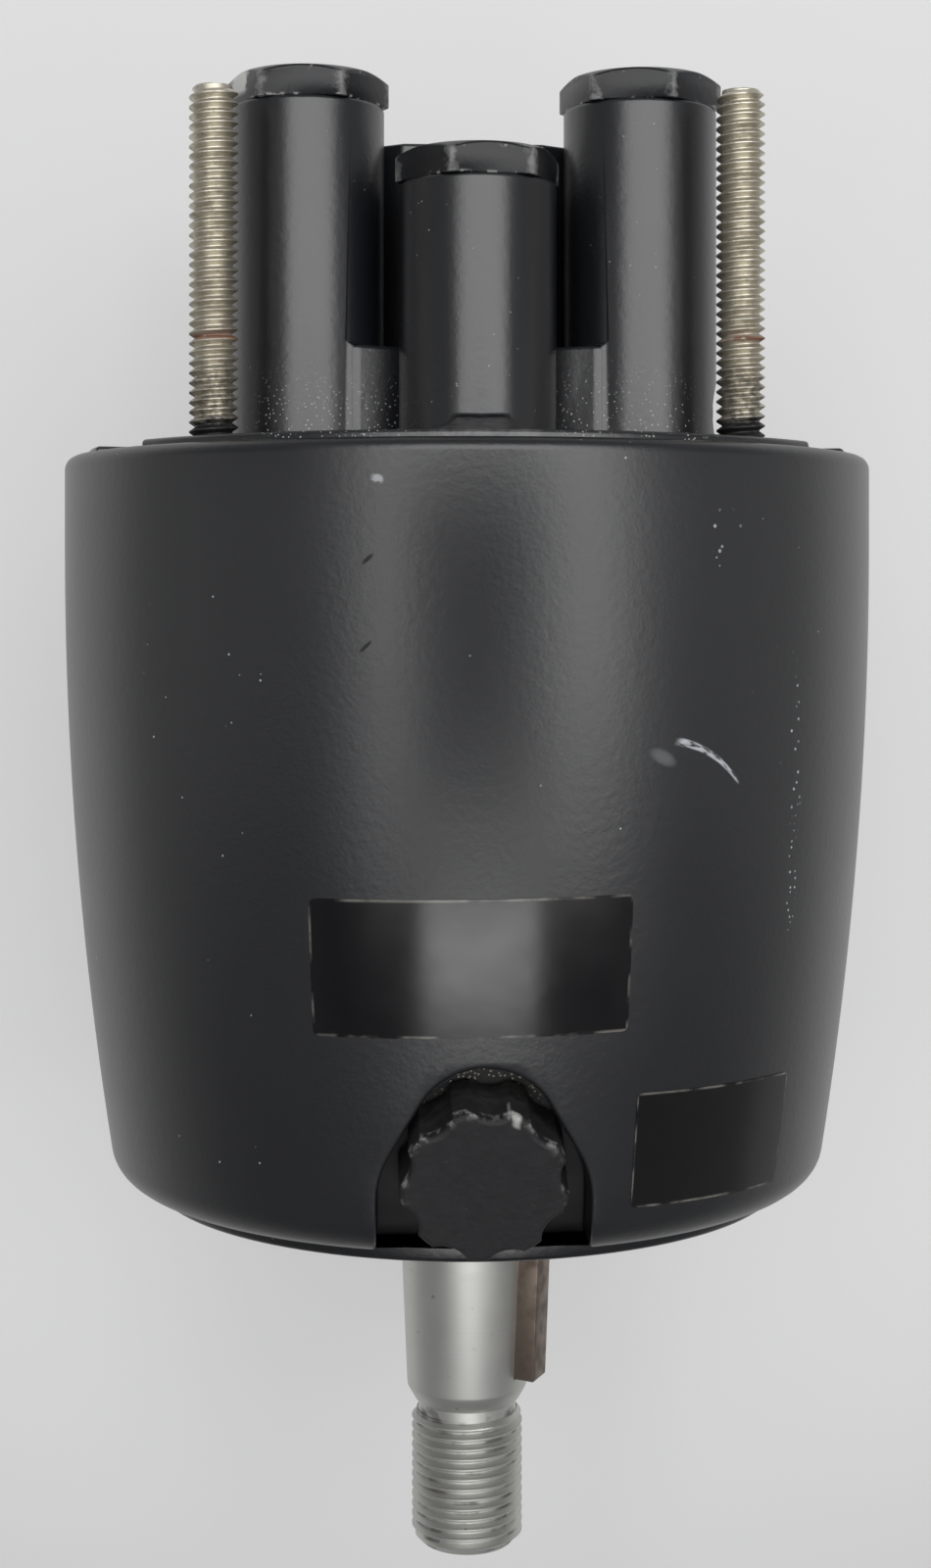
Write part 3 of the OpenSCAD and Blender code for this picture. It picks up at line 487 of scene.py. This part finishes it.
run = (turn - 24.5) * 0.871 + (front - 38.3) * 0.491
off = ((turn - 22.14) ** 2 + (front - 54.5) ** 2) ** 0.5 - 16.4
streaks = p.noise(0.35, 2, p.node("ShaderNodeCombineXYZ", {}, {"X": run * 0.0002, "Y": off * 0.001}))
half = 0.50 - 0.028 * run
scrape = (p.rise(abs(off), half + 0.15, half - 0.15) * p.within(run, 0.4, 11.2, 0.7) * p.rise(front, 50.0, 48.0)
          * p.rise(streaks, 0.34, 0.56) * 0.75)
rubs = (scrape + 0.14 * patch(22.7, 40.2, 2.4, 1.1, 25, 0.0)
        + 0.5 * patch(-13.4, 6.2, 1.1, 0.7, 15) * p.rise(grain, 0.4, 0.6)
        + dots(patch(31.8, 12.6, 3.0, 3.6), 1.2, 0.27) + dots(patch(46.4, 57.0, 1.5, 9.0, -5), 0.9, 0.23)
        + dots(patch(45.6, 40.0, 1.6, 15.0, -5), 1.2, 0.22) + dots(patch(-38.0, 36.0, 16.0, 22.0), 3.0, 0.065))
strokes = patch(-14.6, 15.9, 1.1, 0.32, -42) + patch(-14.9, 26.5, 1.2, 0.30, -42)
depth = (CROWN_R - ((front - CROWN_F) ** 2 + ((p.x * p.x + p.z * p.z) ** 0.5 - CROWN_C) ** 2) ** 0.5)
in_pocket = (p.rise(depth, 2.0, 4.0) * p.rise(p.z, 30.0, 36.0) * p.within(p.x, -13.2, 13.2, 0.1)
             * p.rise(front, 74.0, 78.0))
slanted = p.node("ShaderNodeMapping", {"vector_type": "TEXTURE"}, {
    "Vector": p.where, "Location": KNOB_TOP, "Rotation": (TILT, 0, 0)})
fx, fy, fz = p.split(slanted)
base_ring = p.within((fx * fx + fy * fy) ** 0.5, 9.8, 12.8, 0.6) * p.rise(fz, -5.0, -7.5) * p.rise(fy, 0.0, 5.0)
grit = dots(in_pocket * base_ring, 0.55, 0.34)
p.base = p.blend(strokes, p.base, (0.002, 0.002, 0.002, 1))
# painted light: the pocket's inside is painted a lighter grey, lifting the shade that falls in the recess
p.base = p.blend(in_pocket * 0.8, p.base, (0.034, 0.034, 0.033, 1))
p.base = p.blend(grit, p.base, (0.42, 0.38, 0.29, 1))
p.marks = p.marks + rubs
p.gloss = p.gloss + 0.25 * in_pocket + 0.45 * strokes
barrel_black = dried(p, (0.56, 0.58, 0.61, 1))
piece("painted_barrel", shell, barrel_black, "housing", "black_paint", "barrel")
print("barrel paint has", len(p.tree.nodes), "nodes")

# %% [markdown]
# ## Two blank plates
# Two thin glossy films are stuck on the barrel. They are blank and black, but they mirror the lamp much more
# sharply than the paint does, and a painted highlight draws their cut edges as fine pale lines. A grid with its
# corners rounded is wrapped on the barrel by the same two numbers, and then solidified. Its own UV map tells the
# finish where the edges are.

# %% Film plates
FILM_GAP, FILM_THICK, FILM_CORNER = 0.03, 0.09, 0.8


def crown_r(front):
    return CROWN_C + sqrt(CROWN_R ** 2 - (front - CROWN_F) ** 2)


def film(name, low_turn, high_turn, low_front, high_front, skew):
    bm = bmesh.new()
    bm.loops.layers.uv.new("flat")
    bmesh.ops.create_grid(bm, x_segments=36, y_segments=14, size=0.5, calc_uvs=True)
    corners = [v for v in bm.verts if abs(v.co.x) > 0.499 and abs(v.co.y) > 0.499]
    wide, long = high_turn - low_turn, high_front - low_front
    bmesh.ops.scale(bm, verts=bm.verts, vec=(wide, long, 1))
    bmesh.ops.bevel(bm, geom=corners, offset=FILM_CORNER, offset_type="OFFSET", affect="VERTICES", segments=4,
                    profile=0.5, material=-1)
    for v in bm.verts:
        angle = (low_turn + high_turn) / 2 + v.co.x
        ahead = (low_front + high_front) / 2 - v.co.y + skew * v.co.x / wide
        v.co = on_ring(crown_r(ahead) + FILM_GAP, angle, ahead)
    bmesh.ops.recalc_face_normals(bm, faces=bm.faces)
    bmesh.ops.solidify(bm, geom=bm.faces[:], thickness=-FILM_THICK * MM)
    bmesh.ops.recalc_face_normals(bm, faces=bm.faces)
    piece(name, bm, film_black, "housing", "black_paint", sharp=50)


gloss = Finish("gloss_film", {"Specular IOR Level": 0.6})
smear = gloss.noise(6, 3)
u, v, _ = gloss.split(gloss.node("ShaderNodeUVMap", {"uv_map": "flat"}, {}))
cut_edge = gloss.rise(abs(u - 500), 490, 497).sum("MAXIMUM", gloss.rise(abs(v - 500), 474, 492))
lint = gloss.rise(gloss.noise(1.4, 3), 0.64, 0.76) * 0.2
sheet = gloss.blend(lint, (0.004, 0.004, 0.005, 1), (0.05, 0.05, 0.052, 1))
# painted highlight: the films' cut edges are painted as fine pale lines, broken up by noise
painted_edge_highlight = cut_edge * gloss.rise(gloss.noise(4, 3, seed=2.0), 0.40, 0.62) * 0.7
gloss.wear(colour=gloss.blend(painted_edge_highlight, sheet, (0.20, 0.19, 0.17, 1)),
           roughness=0.15 + 0.09 * smear, normal=gloss.bump(gloss.noise(5, 2), 0.02))
film_black = gloss.material
film("label_film_1", -23.0, 19.0, 57.1, 74.2, -0.5)
film("label_film_2", 21.0, 49.7, 82.3, 97.0, 0.6)
print("films lie", FILM_GAP, "mm off the paint")

# %% [markdown]
# ## The front cover
# A thin plate closes the barrel's front. Four countersunk screws hold it. The plate is turned, its edge is
# rounded, and the screws' seats are cut with cones. A screw is turned too, with a hexagon socket cut in its head.

# %% Front cover and screws
QUARTERS = (45, 135, 225, 315)
COVER_R, COVER_ROUND, BORE_ROUND, COVER_SCREW_RING = 44.68, 0.6, 0.5, 35.98
plate = lathe([(SEAL_BORE_R, SHOULDER), (COVER_R, SHOULDER)]
              + arc(COVER_R - COVER_ROUND, COVER - COVER_ROUND, COVER_ROUND, 0, 90, 4)
              + arc(SEAL_BORE_R + BORE_ROUND, COVER - BORE_ROUND, BORE_ROUND, 90, 180, 3), 128)
seat = [(0, 102), (2.05, 102), (2.05, COVER - 1.45), (3.5, COVER), (3.5, 105), (0, 105)]
seats = [lathe(seat, 32, on_ring(COVER_SCREW_RING, a)) for a in QUARTERS]
plate = combine(plate, seats, "DIFFERENCE")
piece("front_plate", plate, casting_black, "housing", "black_paint", "front_cover")


def plated(name, base, dark, stain, roughness):
    steel = Finish(name, {"Metallic": 1.0})
    steel.tarnish = steel.rise(steel.noise(2.2, 4), 0.42, 0.68)
    steel.base = steel.blend(steel.tarnish, base, dark)
    steel.base = steel.blend(steel.rise(steel.noise(0.6, 3, seed=8.0), 0.60, 0.72) * 0.5, steel.base, stain)
    steel.gloss = roughness + 0.18 * steel.tarnish
    steel.fine = steel.noise(0.25, 3)
    return steel


dull = plated("dull_screw_steel", (0.30, 0.29, 0.27, 1), (0.17, 0.16, 0.15, 1), (0.10, 0.07, 0.05, 1), 0.34)
screw_steel = dull.wear(dull.base, dull.gloss, dull.bump(dull.fine, 0.008))


def hexagon(radius, back, front):
    return rod(radius, back, front, 6)


def socket_screws(side, section, socket, ring, turns):
    for number, a in enumerate(turns, 1):
        screw = moved(combine(lathe(section, 32), [hexagon(*socket)], "DIFFERENCE"), on_ring(ring, a))
        piece(f"{side}_socket_screw_{number}", screw, screw_steel, "housing", "plated_steel",
              f"{side}_screw_{number}")


countersunk = [(0, 96.7), (2, 96.7), (2, COVER - 1.4), (3.3, COVER - 0.1), (3.2, COVER - 0.02), (0, COVER - 0.02)]
socket_screws("cover", countersunk, (1.5, COVER - 1.2, COVER + 1), COVER_SCREW_RING, QUARTERS)

# %% [markdown]
# ## The rear casting
# The back of the helm is one casting: a round block with raised pads that sit on the dash, three valve towers
# tied together by a web and a low bridge, a wedge-shaped foot, two hose bosses and the shaft's closed bush. Each
# lump is turned, or is an outline swept along, a union joins them, and one bevel rounds the outer edges and fills
# the inner corners, as sand casting does. Merging the flat faces first would fold the largest of them, so this
# bevel leaves them split.

# %% Rear casting
TOWER_X, TOWER_UP = 22.45, 22.451
NOTCHES, NOTCH_TURN = (63.25, 116.75, 243.25, 296.75), 17.5
TOWERS = {"port": (-TOWER_X, TOWER_UP, 45.0), "middle": (0, 31.75, 33.4), "stbd": (TOWER_X, TOWER_UP, 45.0)}
TOWER_R, BOSS_R, SCREW_RING = 10.3, 10, 49.5
block = lathe([(0, -8), (15, -8), (15, RIM), (42.2, RIM), (42.2, 0), (54, 0), (54, 5.9), (52.5, 6.2),
               (52.5, 7.8), (54, 8.1), (54, 11), (10.05, 11), (10.05, -4), (0, -4)], 120)


def notch(at_turn):
    bm = bmesh.new()
    corners = [bm.verts.new(place(0, f, r)) for r, f in ((41, -2), (60, -2), (60, RIM), (41, RIM))]
    side = bm.faces.new(corners)
    swung(bm, at_turn - NOTCH_TURN / 2)
    bmesh.ops.spin(bm, geom=[side, *side.edges, *side.verts], cent=(0, 0, 0), axis=(0, 1, 0),
                   angle=radians(NOTCH_TURN), steps=8)
    capped(bm)
    return closed(bm)


def prism(outline, vec):
    bm = bmesh.new()
    bm.faces.new([bm.verts.new(corner) for corner in outline])
    swept(bm, vec)
    capped(bm)
    return closed(bm)


def both(half):
    return half + [(-x, other) for x, other in reversed(half)]


def foot():
    flare = both([(7.5, 1.2), (7.5, 0.7), (6.6, 0.1), (5.2, -0.5), (4.0, -1.3), (3.3, -2.4)])
    bm = prism([place(x, f, 31.75) for x, f in flare], place(0, 0, 21.25))
    bmesh.ops.bisect_plane(bm, geom=bm.verts[:] + bm.edges[:] + bm.faces[:], dist=1e-8,
                           plane_co=place(0, -2.4, 42.05), plane_no=(0, 10.95, 2.9), clear_outer=True)
    capped(bm)
    return closed(bm)


def tie(half, tall):
    return prism([place(x, -tall, up) for x, up in both(half)], place(0, tall + 1.5, 0))


web = [(TOWER_X, 12.45), (TOWER_X, 15.0), (12.6, 18.4), (9.6, 20.45)]
bridge = [(TOWER_X, 12.40), (TOWER_X, 30.8)] + arc(16.0, 29.35, 2.0, 50, 115, 6) + [(9.4, 28.48)]
lumps = [rod(TOWER_R, -tall, 1.5, 72, place(x, 0, up)) for x, up, tall in TOWERS.values()]
lumps += [tie(web, 41.0), tie(bridge, 12.5), foot()]
lumps += [rod(BOSS_R, -11, 1.5, 56, place(side * TOWER_X, 0, -TOWER_UP)) for side in (-1, 1)]
block = combine(block, [notch(a) for a in NOTCHES], "DIFFERENCE")
block = combine(block, lumps, "UNION")
bmesh.ops.remove_doubles(block, verts=block.verts, dist=0.10 * MM)
block = soften(block, 0.55, 3, 34, merge=False)
holes = [rod(7.144, -12, RIM, 48, place(side * TOWER_X, 0, -TOWER_UP)) for side in (-1, 1)]
holes += [rod(6.4, -tall - 1, -tall + 12.1, 48, place(x, 0, up)) for x, up, tall in TOWERS.values()]
holes += [rod(3.45, -1, 4, 32, on_ring(SCREW_RING, a)) for a in NOTCHES]
spool_seat = drum(4.55, 8, 32, Matrix.Translation(place(30.75, -4, TOWER_UP)) @ Matrix.Rotation(pi / 2, 4, "Y"))
block = combine(block, holes + [spool_seat], "DIFFERENCE")
rear = paint("rear_paint", 1.6, 0.075, shine=0.92, rough=0.29)
aside = abs(rear.x)
corner_dust = rear.rise(rear.y, 12.0, 0.0) * rear.within(aside, 10.0, 28.0, 3.0) * rear.rise(rear.z, 22.0, 28.0)
rear.marks = rear.marks + corner_dust * rear.rise(rear.specks(0.6), 0.24, 0.12)
# painted highlight: the foot's face is painted a lighter grey in a grainy patch, standing in for the light its
# fillet catches
painted_foot_highlight = rear.rise(aside, 7.4, 5.8) * rear.rise(rear.z, 42.1, 43.0) * rear.rise(rear.y, 3.0, 1.6)
rear.base = rear.blend(painted_foot_highlight * rear.rise(rear.noise(1.3, 3), 0.25, 0.60), rear.base, (0.085, 0.085, 0.088, 1))
rear_black = dried(rear)
piece("rear_casting", block, rear_black, "housing", "black_paint", "rear_block", "valve_block", "bush_cap",
      "hose_collar_port", "hose_collar_stbd")

capscrew = [(0, 1.2), (2.9, 1.2), (3.4, 1.7), (3.4, 4), (2, 4), (2, 19), (0, 19)]
socket_screws("rear", capscrew, (1.9, 0, 2.8), SCREW_RING, NOTCHES)

# %% [markdown]
# ## Hexagon plugs
# A hexagon plug caps each tower. A hexagon is a spin of six steps, and the ring turned on a real one is the
# part of it that lies inside a cone. Wrenches chip the paint on the corners: the finish finds them by the
# distance from the plug's axis, so each plug has a finish of its own.

# %% Plugs
PLUG_TALL, PLUG_CORNER_R, PLUG_FACE_R, CONE_SLOPE, CHIP_R = 4.2, 10.9985, 9.225, 1.732, 10.2
PLUGS = {"port": (4, 0.45, -70, 1.0), "middle": (-9, 0.35, 130, 0.35), "stbd": (12, 0.40, 130, 0.35)}


def plug_finish(name, x, up, top, amount, chip_turn, chip_amount):
    coat = paint(name, 1.2, 0.06, 0.40)
    aside, above = coat.x - x, coat.z - up
    away = (aside * aside + above * above) ** 0.5
    ragged = coat.noise(1.1, 4, seed=6.0)
    corner = coat.rise(away + (ragged - 0.5) * 1.6, 10.4, 11.0) * 0.5
    rim = (coat.within(coat.y, top - 0.8, top + 0.3, 0.25) * coat.rise(ragged, 0.60, 0.68)
           * coat.rise(away, 8.2, 9.0))
    dusty = coat.rise(coat.noise(1.6, 3, seed=1.5), 0.54, 0.62)
    foot_ring = coat.within(coat.y, top - 4.6, top - 3.9, 0.2) * dusty
    chip_x, chip_up = CHIP_R * sin(radians(chip_turn)), CHIP_R * cos(radians(chip_turn))
    chip = ((aside - chip_x) ** 2 + (above - chip_up) ** 2) ** 0.5
    chipped = coat.rise(chip + (ragged - 0.5) * 3.0, 3.0, 2.0) * coat.rise(coat.y, top - 3.4, top - 2.4)
    coat.marks = coat.marks + corner * 0.5 + (rim + foot_ring) * amount + chipped * chip_amount
    return dried(coat, (0.62, 0.62, 0.60, 1))


for side, (angle, *marks) in PLUGS.items():
    x, up, tall = TOWERS[side]
    end = -tall - PLUG_TALL
    head = swung(hexagon(PLUG_CORNER_R, end, -tall), 30 - angle)
    cone_r = PLUG_FACE_R + (PLUG_TALL + 0.1) * CONE_SLOPE
    ring = lathe([(0, end), (PLUG_FACE_R, end), (cone_r, -tall + 0.1), (0, -tall + 0.1)], 96)
    head = soften(combine(head, [ring], "INTERSECT"), 0.22, 2, 20)
    plug = moved(joined(head, rod(6.35, -tall - 0.1, -tall + 12, 40)), place(x, 0, up))
    coated = plug_finish(f"{side}_plug_paint", x, up, -end, *marks)
    piece(f"hex_plug_{side}", plug, coated, "housing", "black_paint", f"plug_{side}", sharp=30)

# %% [markdown]
# ## Screw threads
# A thread is a zigzag that climbs one pitch for each turn, so it is a spin with a small step along the axis.
# After one whole turn each tooth meets the next one, and merging the doubles closes the helix. The ends are cut
# flat and filled, and pulling the outer corners in makes the chamfer that starts a nut.

# %% Thread
STUD_R, STUD_TOOTH, STUD_PITCH, STUD_END = 3.175, 0.72, 1.27, -45.5


def thread(radius, tall, pitch, back, front, back_chamfer=0.0, front_chamfer=0.0, steps=40):
    bm = bmesh.new()
    turns = int((front - back) / pitch) + 4
    teeth = [(r, back + pitch * (n - 2 + spot)) for n in range(turns)
             for r, spot in ((radius - tall, 0.0), (radius - tall, 0.12), (radius, 0.50), (radius, 0.62))]
    corners = [bm.verts.new(place(0, f, r)) for r, f in teeth]
    sides = [bm.edges.new(pair) for pair in zip(corners, corners[1:])]
    bmesh.ops.spin(bm, geom=corners + sides, cent=(0, 0, 0), axis=(0, -1, 0), dvec=place(0, pitch / steps, 0),
                   angle=2 * pi, steps=steps)
    bmesh.ops.remove_doubles(bm, verts=bm.verts, dist=4e-6)
    for end, way in ((back, 1), (front, -1)):
        bmesh.ops.bisect_plane(bm, geom=bm.verts[:] + bm.edges[:] + bm.faces[:], dist=1e-8,
                               plane_co=place(0, end, 0), plane_no=(0, way, 0), clear_outer=True)
    capped(bm)
    for v in bm.verts:
        ahead, out = -v.co.y / MM, Vector((v.co.x, v.co.z)).length / MM
        most = radius - max(0, back_chamfer - (ahead - back)) - max(0, front_chamfer - (front - ahead))
        if out > most:
            v.co.x *= most / out
            v.co.z *= most / out
    return closed(bm)


print("a stud's thread has", len(thread(STUD_R, STUD_TOOTH, STUD_PITCH, STUD_END, 0.5).faces), "faces")

# %% [markdown]
# ## Dash studs
# Four plated studs stand out of the pads. The plating has gone dull and yellowish, some roots are brown, and dark
# sealant fills the lowest threads, where the studs were set in the casting.

# %% Studs
stud = plated("stud_steel", (0.64, 0.605, 0.52, 1), (0.51, 0.475, 0.40, 1), (0.28, 0.21, 0.155, 1), 0.46)
rust = stud.within(stud.y, 12.6, 13.3, 0.4) * stud.rise(stud.noise(1.8, 3, seed=3.0), 0.34, 0.48)
seal_edge = stud.y + 5.0 * stud.noise(1.7, 3, seed=5.5) + 0.09 * abs(stud.x)
sealed = stud.rise(seal_edge, 8.6, 7.2)
dirty = stud.rise(stud.y, 11.0, 7.0) * stud.rise(stud.noise(0.8, 3, seed=2.0), 0.40, 0.62)
stud.base = stud.blend(dirty * 0.6, stud.base, (0.15, 0.14, 0.125, 1))
stud.base = stud.blend(rust, stud.base, (0.17, 0.060, 0.025, 1))
stud.base = stud.blend(sealed, stud.base, (0.012, 0.012, 0.012, 1))
bare = 1 - sealed.sum("MAXIMUM", rust)
stud_steel = stud.wear(stud.base, stud.gloss + 0.2 * rust, stud.bump(stud.fine, 0.01), bare)
for number, a in enumerate(QUARTERS, 1):
    cut = thread(STUD_R, STUD_TOOTH, STUD_PITCH, STUD_END, 0.5, back_chamfer=0.8)
    made = moved(swung(joined(cut, rod(3.95, 0.1, 9, 32)), 40 * number), on_ring(STUD_RING, a))
    piece(f"threaded_stud_{number}", made, stud_steel, "housing", "plated_steel", f"stud_{number}", sharp=24)

# %% [markdown]
# ## The wheel shaft
# The shaft is turned from one bar: a journal and a rotor seat inside, a parallel part through the seal, the
# long taper that grips the wheel, a groove and a thread for the wheel's nut. Fine rings from the tool run round
# it. The finish makes them from noise of one dimension, which changes quickly along the shaft and not at all
# round it.

# %% Shaft and key
KEY_TURN, KEY_W, KEY_LONG, KEY_DEEP = 64.0, 4.76, 19, 2.16
SHAFT_R, TAPER_START = 9.525, 112
lean = atan(1 / 24)
spoke = Vector((sin(radians(KEY_TURN)), 0, cos(radians(KEY_TURN))))
ahead = Vector((0, -1, 0))
run, lift = ahead * cos(lean) - spoke * sin(lean), spoke * cos(lean) + ahead * sin(lean)
key_frame = Matrix((lift.cross(run) * -1, run, lift)).transposed().to_4x4()
key_frame.translation = spoke * SHAFT_R * MM + ahead * TAPER_START * MM


def key_block(gap):
    bm = bmesh.new()
    low = Vector((-KEY_W / 2 - gap, 1 - gap, -KEY_DEEP - gap))
    size = Vector((KEY_W + 2 * gap, KEY_LONG + 2 * gap, KEY_W + 2 * gap))
    boxed = Matrix.LocRotScale((low + size / 2) * MM, None, size * MM)
    bmesh.ops.create_cube(bm, size=1, matrix=key_frame @ boxed)
    return closed(bm)


inside = [(0, -4), (7.4, -4), (7.9, -3.5), (7.9, 14), (8.9, 14), (8.9, 14.2), (11, 14.2), (11, 83.2), (10, 83.2),
          (10, 95.2), (SHAFT_R, 95.2), (SHAFT_R, TAPER_START)]
taper_end = [(8.62, 133.7), (8.56, 134.1), (7.55, 135.9), (7.3, 136.0), (7.04, 136.3), (7.04, 138.2), (0, 138.2)]
bar = lathe(inside + taper_end, 96)
bar = combine(bar, [key_block(0.05)], "DIFFERENCE")
nut_thread = thread(7.94, 0.86, 1.411, 137.6, 156.5, back_chamfer=0.7, front_chamfer=1.4, steps=64)
shaft_body = joined(bar, nut_thread)

turned = Finish("turned_steel", {"Metallic": 1.0})
rings, broad = turned.banded(5.5, 3.0), turned.banded(0.5, 2.0)
cloudy = turned.noise(7, 4)
steel_base = turned.blend(0.5 * rings + 0.5 * cloudy, (0.54, 0.54, 0.515, 1), (0.68, 0.68, 0.65, 1))
away = (turned.x * turned.x + turned.z * turned.z) ** 0.5
in_thread = turned.rise(turned.y, -136.2, -136.6)
roots = in_thread * turned.within(away, 6.85, 7.28, 0.17) * turned.rise(turned.noise(3, 3, seed=4.0), 0.46, 0.66)
steel_base = turned.blend(roots * 0.7, steel_base, (0.13, 0.12, 0.11, 1))
spots = turned.rise(turned.noise(1.0, 4, seed=6.0), 0.66, 0.74)
steel_base = turned.blend(spots * 0.5, steel_base, (0.16, 0.14, 0.11, 1))
dulled = 0.36 + 0.10 * broad + 0.12 * cloudy + 0.2 * roots
shaft_steel = turned.wear(steel_base, dulled, turned.bump(rings, 0.006))
piece("turned_shaft", shaft_body, shaft_steel, "wheel_shaft", "bright_steel", "shaft", sharp=26)

brown = plated("key_steel", (0.215, 0.175, 0.145, 1), (0.175, 0.14, 0.115, 1), (0.13, 0.095, 0.075, 1), 0.44)
key_brown = brown.wear(brown.base, brown.gloss, brown.bump(brown.fine, 0.012))
key = soften(key_block(0), 0.25, 2)
piece("wheel_key", key, key_brown, "wheel_shaft", "plated_steel", "shaft_key")

# %% [markdown]
# ## The filler cap
# The cap is a moulded knob with nine lobes, screwed into the pocket on a slant so that its oil doesn't run out.
# A circle's corners are pulled in where a scallop lies, and the outline is extruded up. The last extrusions are
# scaled in a little each, which rounds the top edge as a mould does and can't fold at the lobes. The upper
# corners of the lobes are painted pale on their rear half: partly finger wear, partly a painted highlight of the
# panel.

# %% Filler cap
KNOB_R, KNOB_H, RIM_R, LOBES, SCALLOP_R, SCALLOP_D = 10.6, 8.5, 0.75, 9, 4.0, 1.1


def knob_reach(angle):
    step = 2 * pi / LOBES
    off = (angle - (-pi / 2 + step / 2)) % step
    off = min(off, step - off)
    far = KNOB_R + SCALLOP_R - SCALLOP_D
    if abs(far * sin(off)) >= SCALLOP_R:
        return KNOB_R
    return min(KNOB_R, far * cos(off) - sqrt(SCALLOP_R ** 2 - (far * sin(off)) ** 2))


cap = bmesh.new()
bmesh.ops.create_circle(cap, cap_ends=True, segments=LOBES * 24, radius=1)
for v in cap.verts:
    reach = knob_reach(Vector((1, 0)).angle_signed(v.co.xy) * -1)
    v.co = Vector((v.co.x * reach, v.co.y * reach, -KNOB_H)) * MM
top, share, level = next(iter(cap.faces)), 1.0, -KNOB_H
for swing in (0, 22.5, 45, 67.5, 90):
    grown = bmesh.ops.extrude_face_region(cap, geom=[top])["geom"]
    if level > -KNOB_H:
        bmesh.ops.delete(cap, geom=[top], context="FACES_ONLY")
    top = next(part for part in grown if isinstance(part, bmesh.types.BMFace))
    narrow, height = 1 - RIM_R * (1 - cos(radians(swing))) / KNOB_R, RIM_R * (sin(radians(swing)) - 1)
    bmesh.ops.scale(cap, verts=top.verts[:], vec=(narrow / share, narrow / share, 1))
    bmesh.ops.translate(cap, verts=top.verts[:], vec=place(0, 0, height - level))
    share, level = narrow, height
closed(cap)
shank = swung(thread(7.0, 0.9, 2.0, 0, 8.9, front_chamfer=0.9), 90, "X")
cap = joined(cap, moved(shank, place(0, 0, -8.4)))
bmesh.ops.transform(cap, matrix=filler_frame @ Matrix.Rotation(radians(-4), 4, "Z"), verts=cap.verts)
closed(cap, 1e-6)

knob = Finish("worn_highlit_knob", {"Specular IOR Level": 0.36})
flat = knob.node("ShaderNodeMapping", {"vector_type": "TEXTURE"}, {
    "Vector": knob.where, "Location": KNOB_TOP, "Rotation": (TILT, 0, 0)})
kx, ky, kz = knob.split(flat)
out = (kx * kx + ky * ky) ** 0.5
scuffed = knob.noise(1.2, 4, seed=2.5)
# the lobes' upper corners are painted pale on their rear half: partly finger wear, partly a painted highlight
# where the rim mirrors the panel
corner = knob.within(kz, -1.5, -0.12, 0.25) * knob.rise(out, 9.0, 10.1) * knob.rise(ky + 3 * scuffed, -4.0, 3.0)
flecks = knob.rise(knob.specks(1.5), 0.07, 0.03) * knob.rise(knob.noise(5, 2), 0.5, 0.6)
pale_marks_and_highlight = corner * knob.rise(scuffed, 0.50, 0.63) + flecks * 0.5
drip = knob.within(kx, 2.75, 3.0, 0.2) * knob.within(kz, -3.4, -0.6, 0.4) * knob.rise(ky, 7.0, 8.0)
# painted highlight: a pale blob on the rim where the drip starts
blob = (knob.rise(((kx - 3.7) ** 2 + (kz + 0.6) ** 2) ** 0.5, 0.9, 0.5) * knob.rise(ky, 7.5, 8.5)
        * knob.rise(out, 9.0, 9.6))
side_dust = knob.rise(kz, -1.0, -7.5) * knob.rise(knob.noise(1.5, 4, seed=5.0), 0.42, 0.66) * 0.3
moulded = knob.blend(knob.noise(1.6, 4), (0.012, 0.012, 0.0135, 1), (0.024, 0.024, 0.026, 1))
moulded = knob.blend(side_dust, moulded, (0.10, 0.095, 0.08, 1))
wear_and_highlight = (pale_marks_and_highlight * 0.40 + drip * 0.5 + blob * 0.7).sum("MINIMUM", 1.0)
moulded = knob.blend(wear_and_highlight, moulded, (0.50, 0.50, 0.48, 1))
knob_black = knob.wear(moulded, 0.46 + 0.20 * scuffed, knob.bump(knob.noise(0.9, 4), 0.12))
filler = piece("lobed_filler_cap", cap, knob_black, "filler_cap", "black_plastic", "filler_cap")
for face in sorted(filler.data.polygons, key=lambda face: face.area)[-2:]:
    face.use_smooth = False

# %% [markdown]
# ## What stays from the solid model
# The pump inside, its seals, bearings and check valves hardly show, and their solids already have the right
# shapes. Each keeps its solid and gets a finish of its record's slot: machined bronze, honed iron, ground steel,
# cut alloy or rubber, all with fine tool marks or a matt grain instead of one flat colour.

# %% Inner finishes
def machined(name, light, dark, roughness, metallic=1.0):
    metal = Finish(name, {"Metallic": metallic})
    cut, cloud = metal.banded(3.0, 3.0), metal.noise(6, 3)
    shade = metal.blend(0.6 * cloud + 0.4 * cut, light, dark)
    return metal.wear(shade, roughness + 0.14 * cloud, metal.bump(cut, 0.004))


inner = {
    "bright_steel": machined("ground_steel", (0.60, 0.59, 0.57, 1), (0.46, 0.455, 0.44, 1), 0.20),
    "plated_steel": screw_steel,
    "rubber": machined("seal_rubber", (0.016, 0.016, 0.016, 1), (0.030, 0.030, 0.030, 1), 0.62, 0.0),
    "bronze": machined("machined_bronze", (0.55, 0.40, 0.20, 1), (0.40, 0.28, 0.13, 1), 0.26),
    "bare_alloy": machined("cut_alloy", (0.62, 0.63, 0.64, 1), (0.50, 0.51, 0.52, 1), 0.30),
    "cast_iron": machined("honed_iron", (0.24, 0.24, 0.245, 1), (0.15, 0.15, 0.155, 1), 0.38),
    "black_paint": casting_black,
    "black_plastic": knob_black,
}
slots = {row["node"]: row["material_slot"] for row in frame["record"]["subparts"]}
kept = [name for name, node in frame["nodes"].items() if not node.hide_render]
for name in kept:
    node = frame["nodes"][name]
    if not node.material_slots:
        node.data.materials.append(None)
    for holder in node.material_slots:
        holder.material = inner[slots[name]]
print(len(kept), "nodes keep their solids")
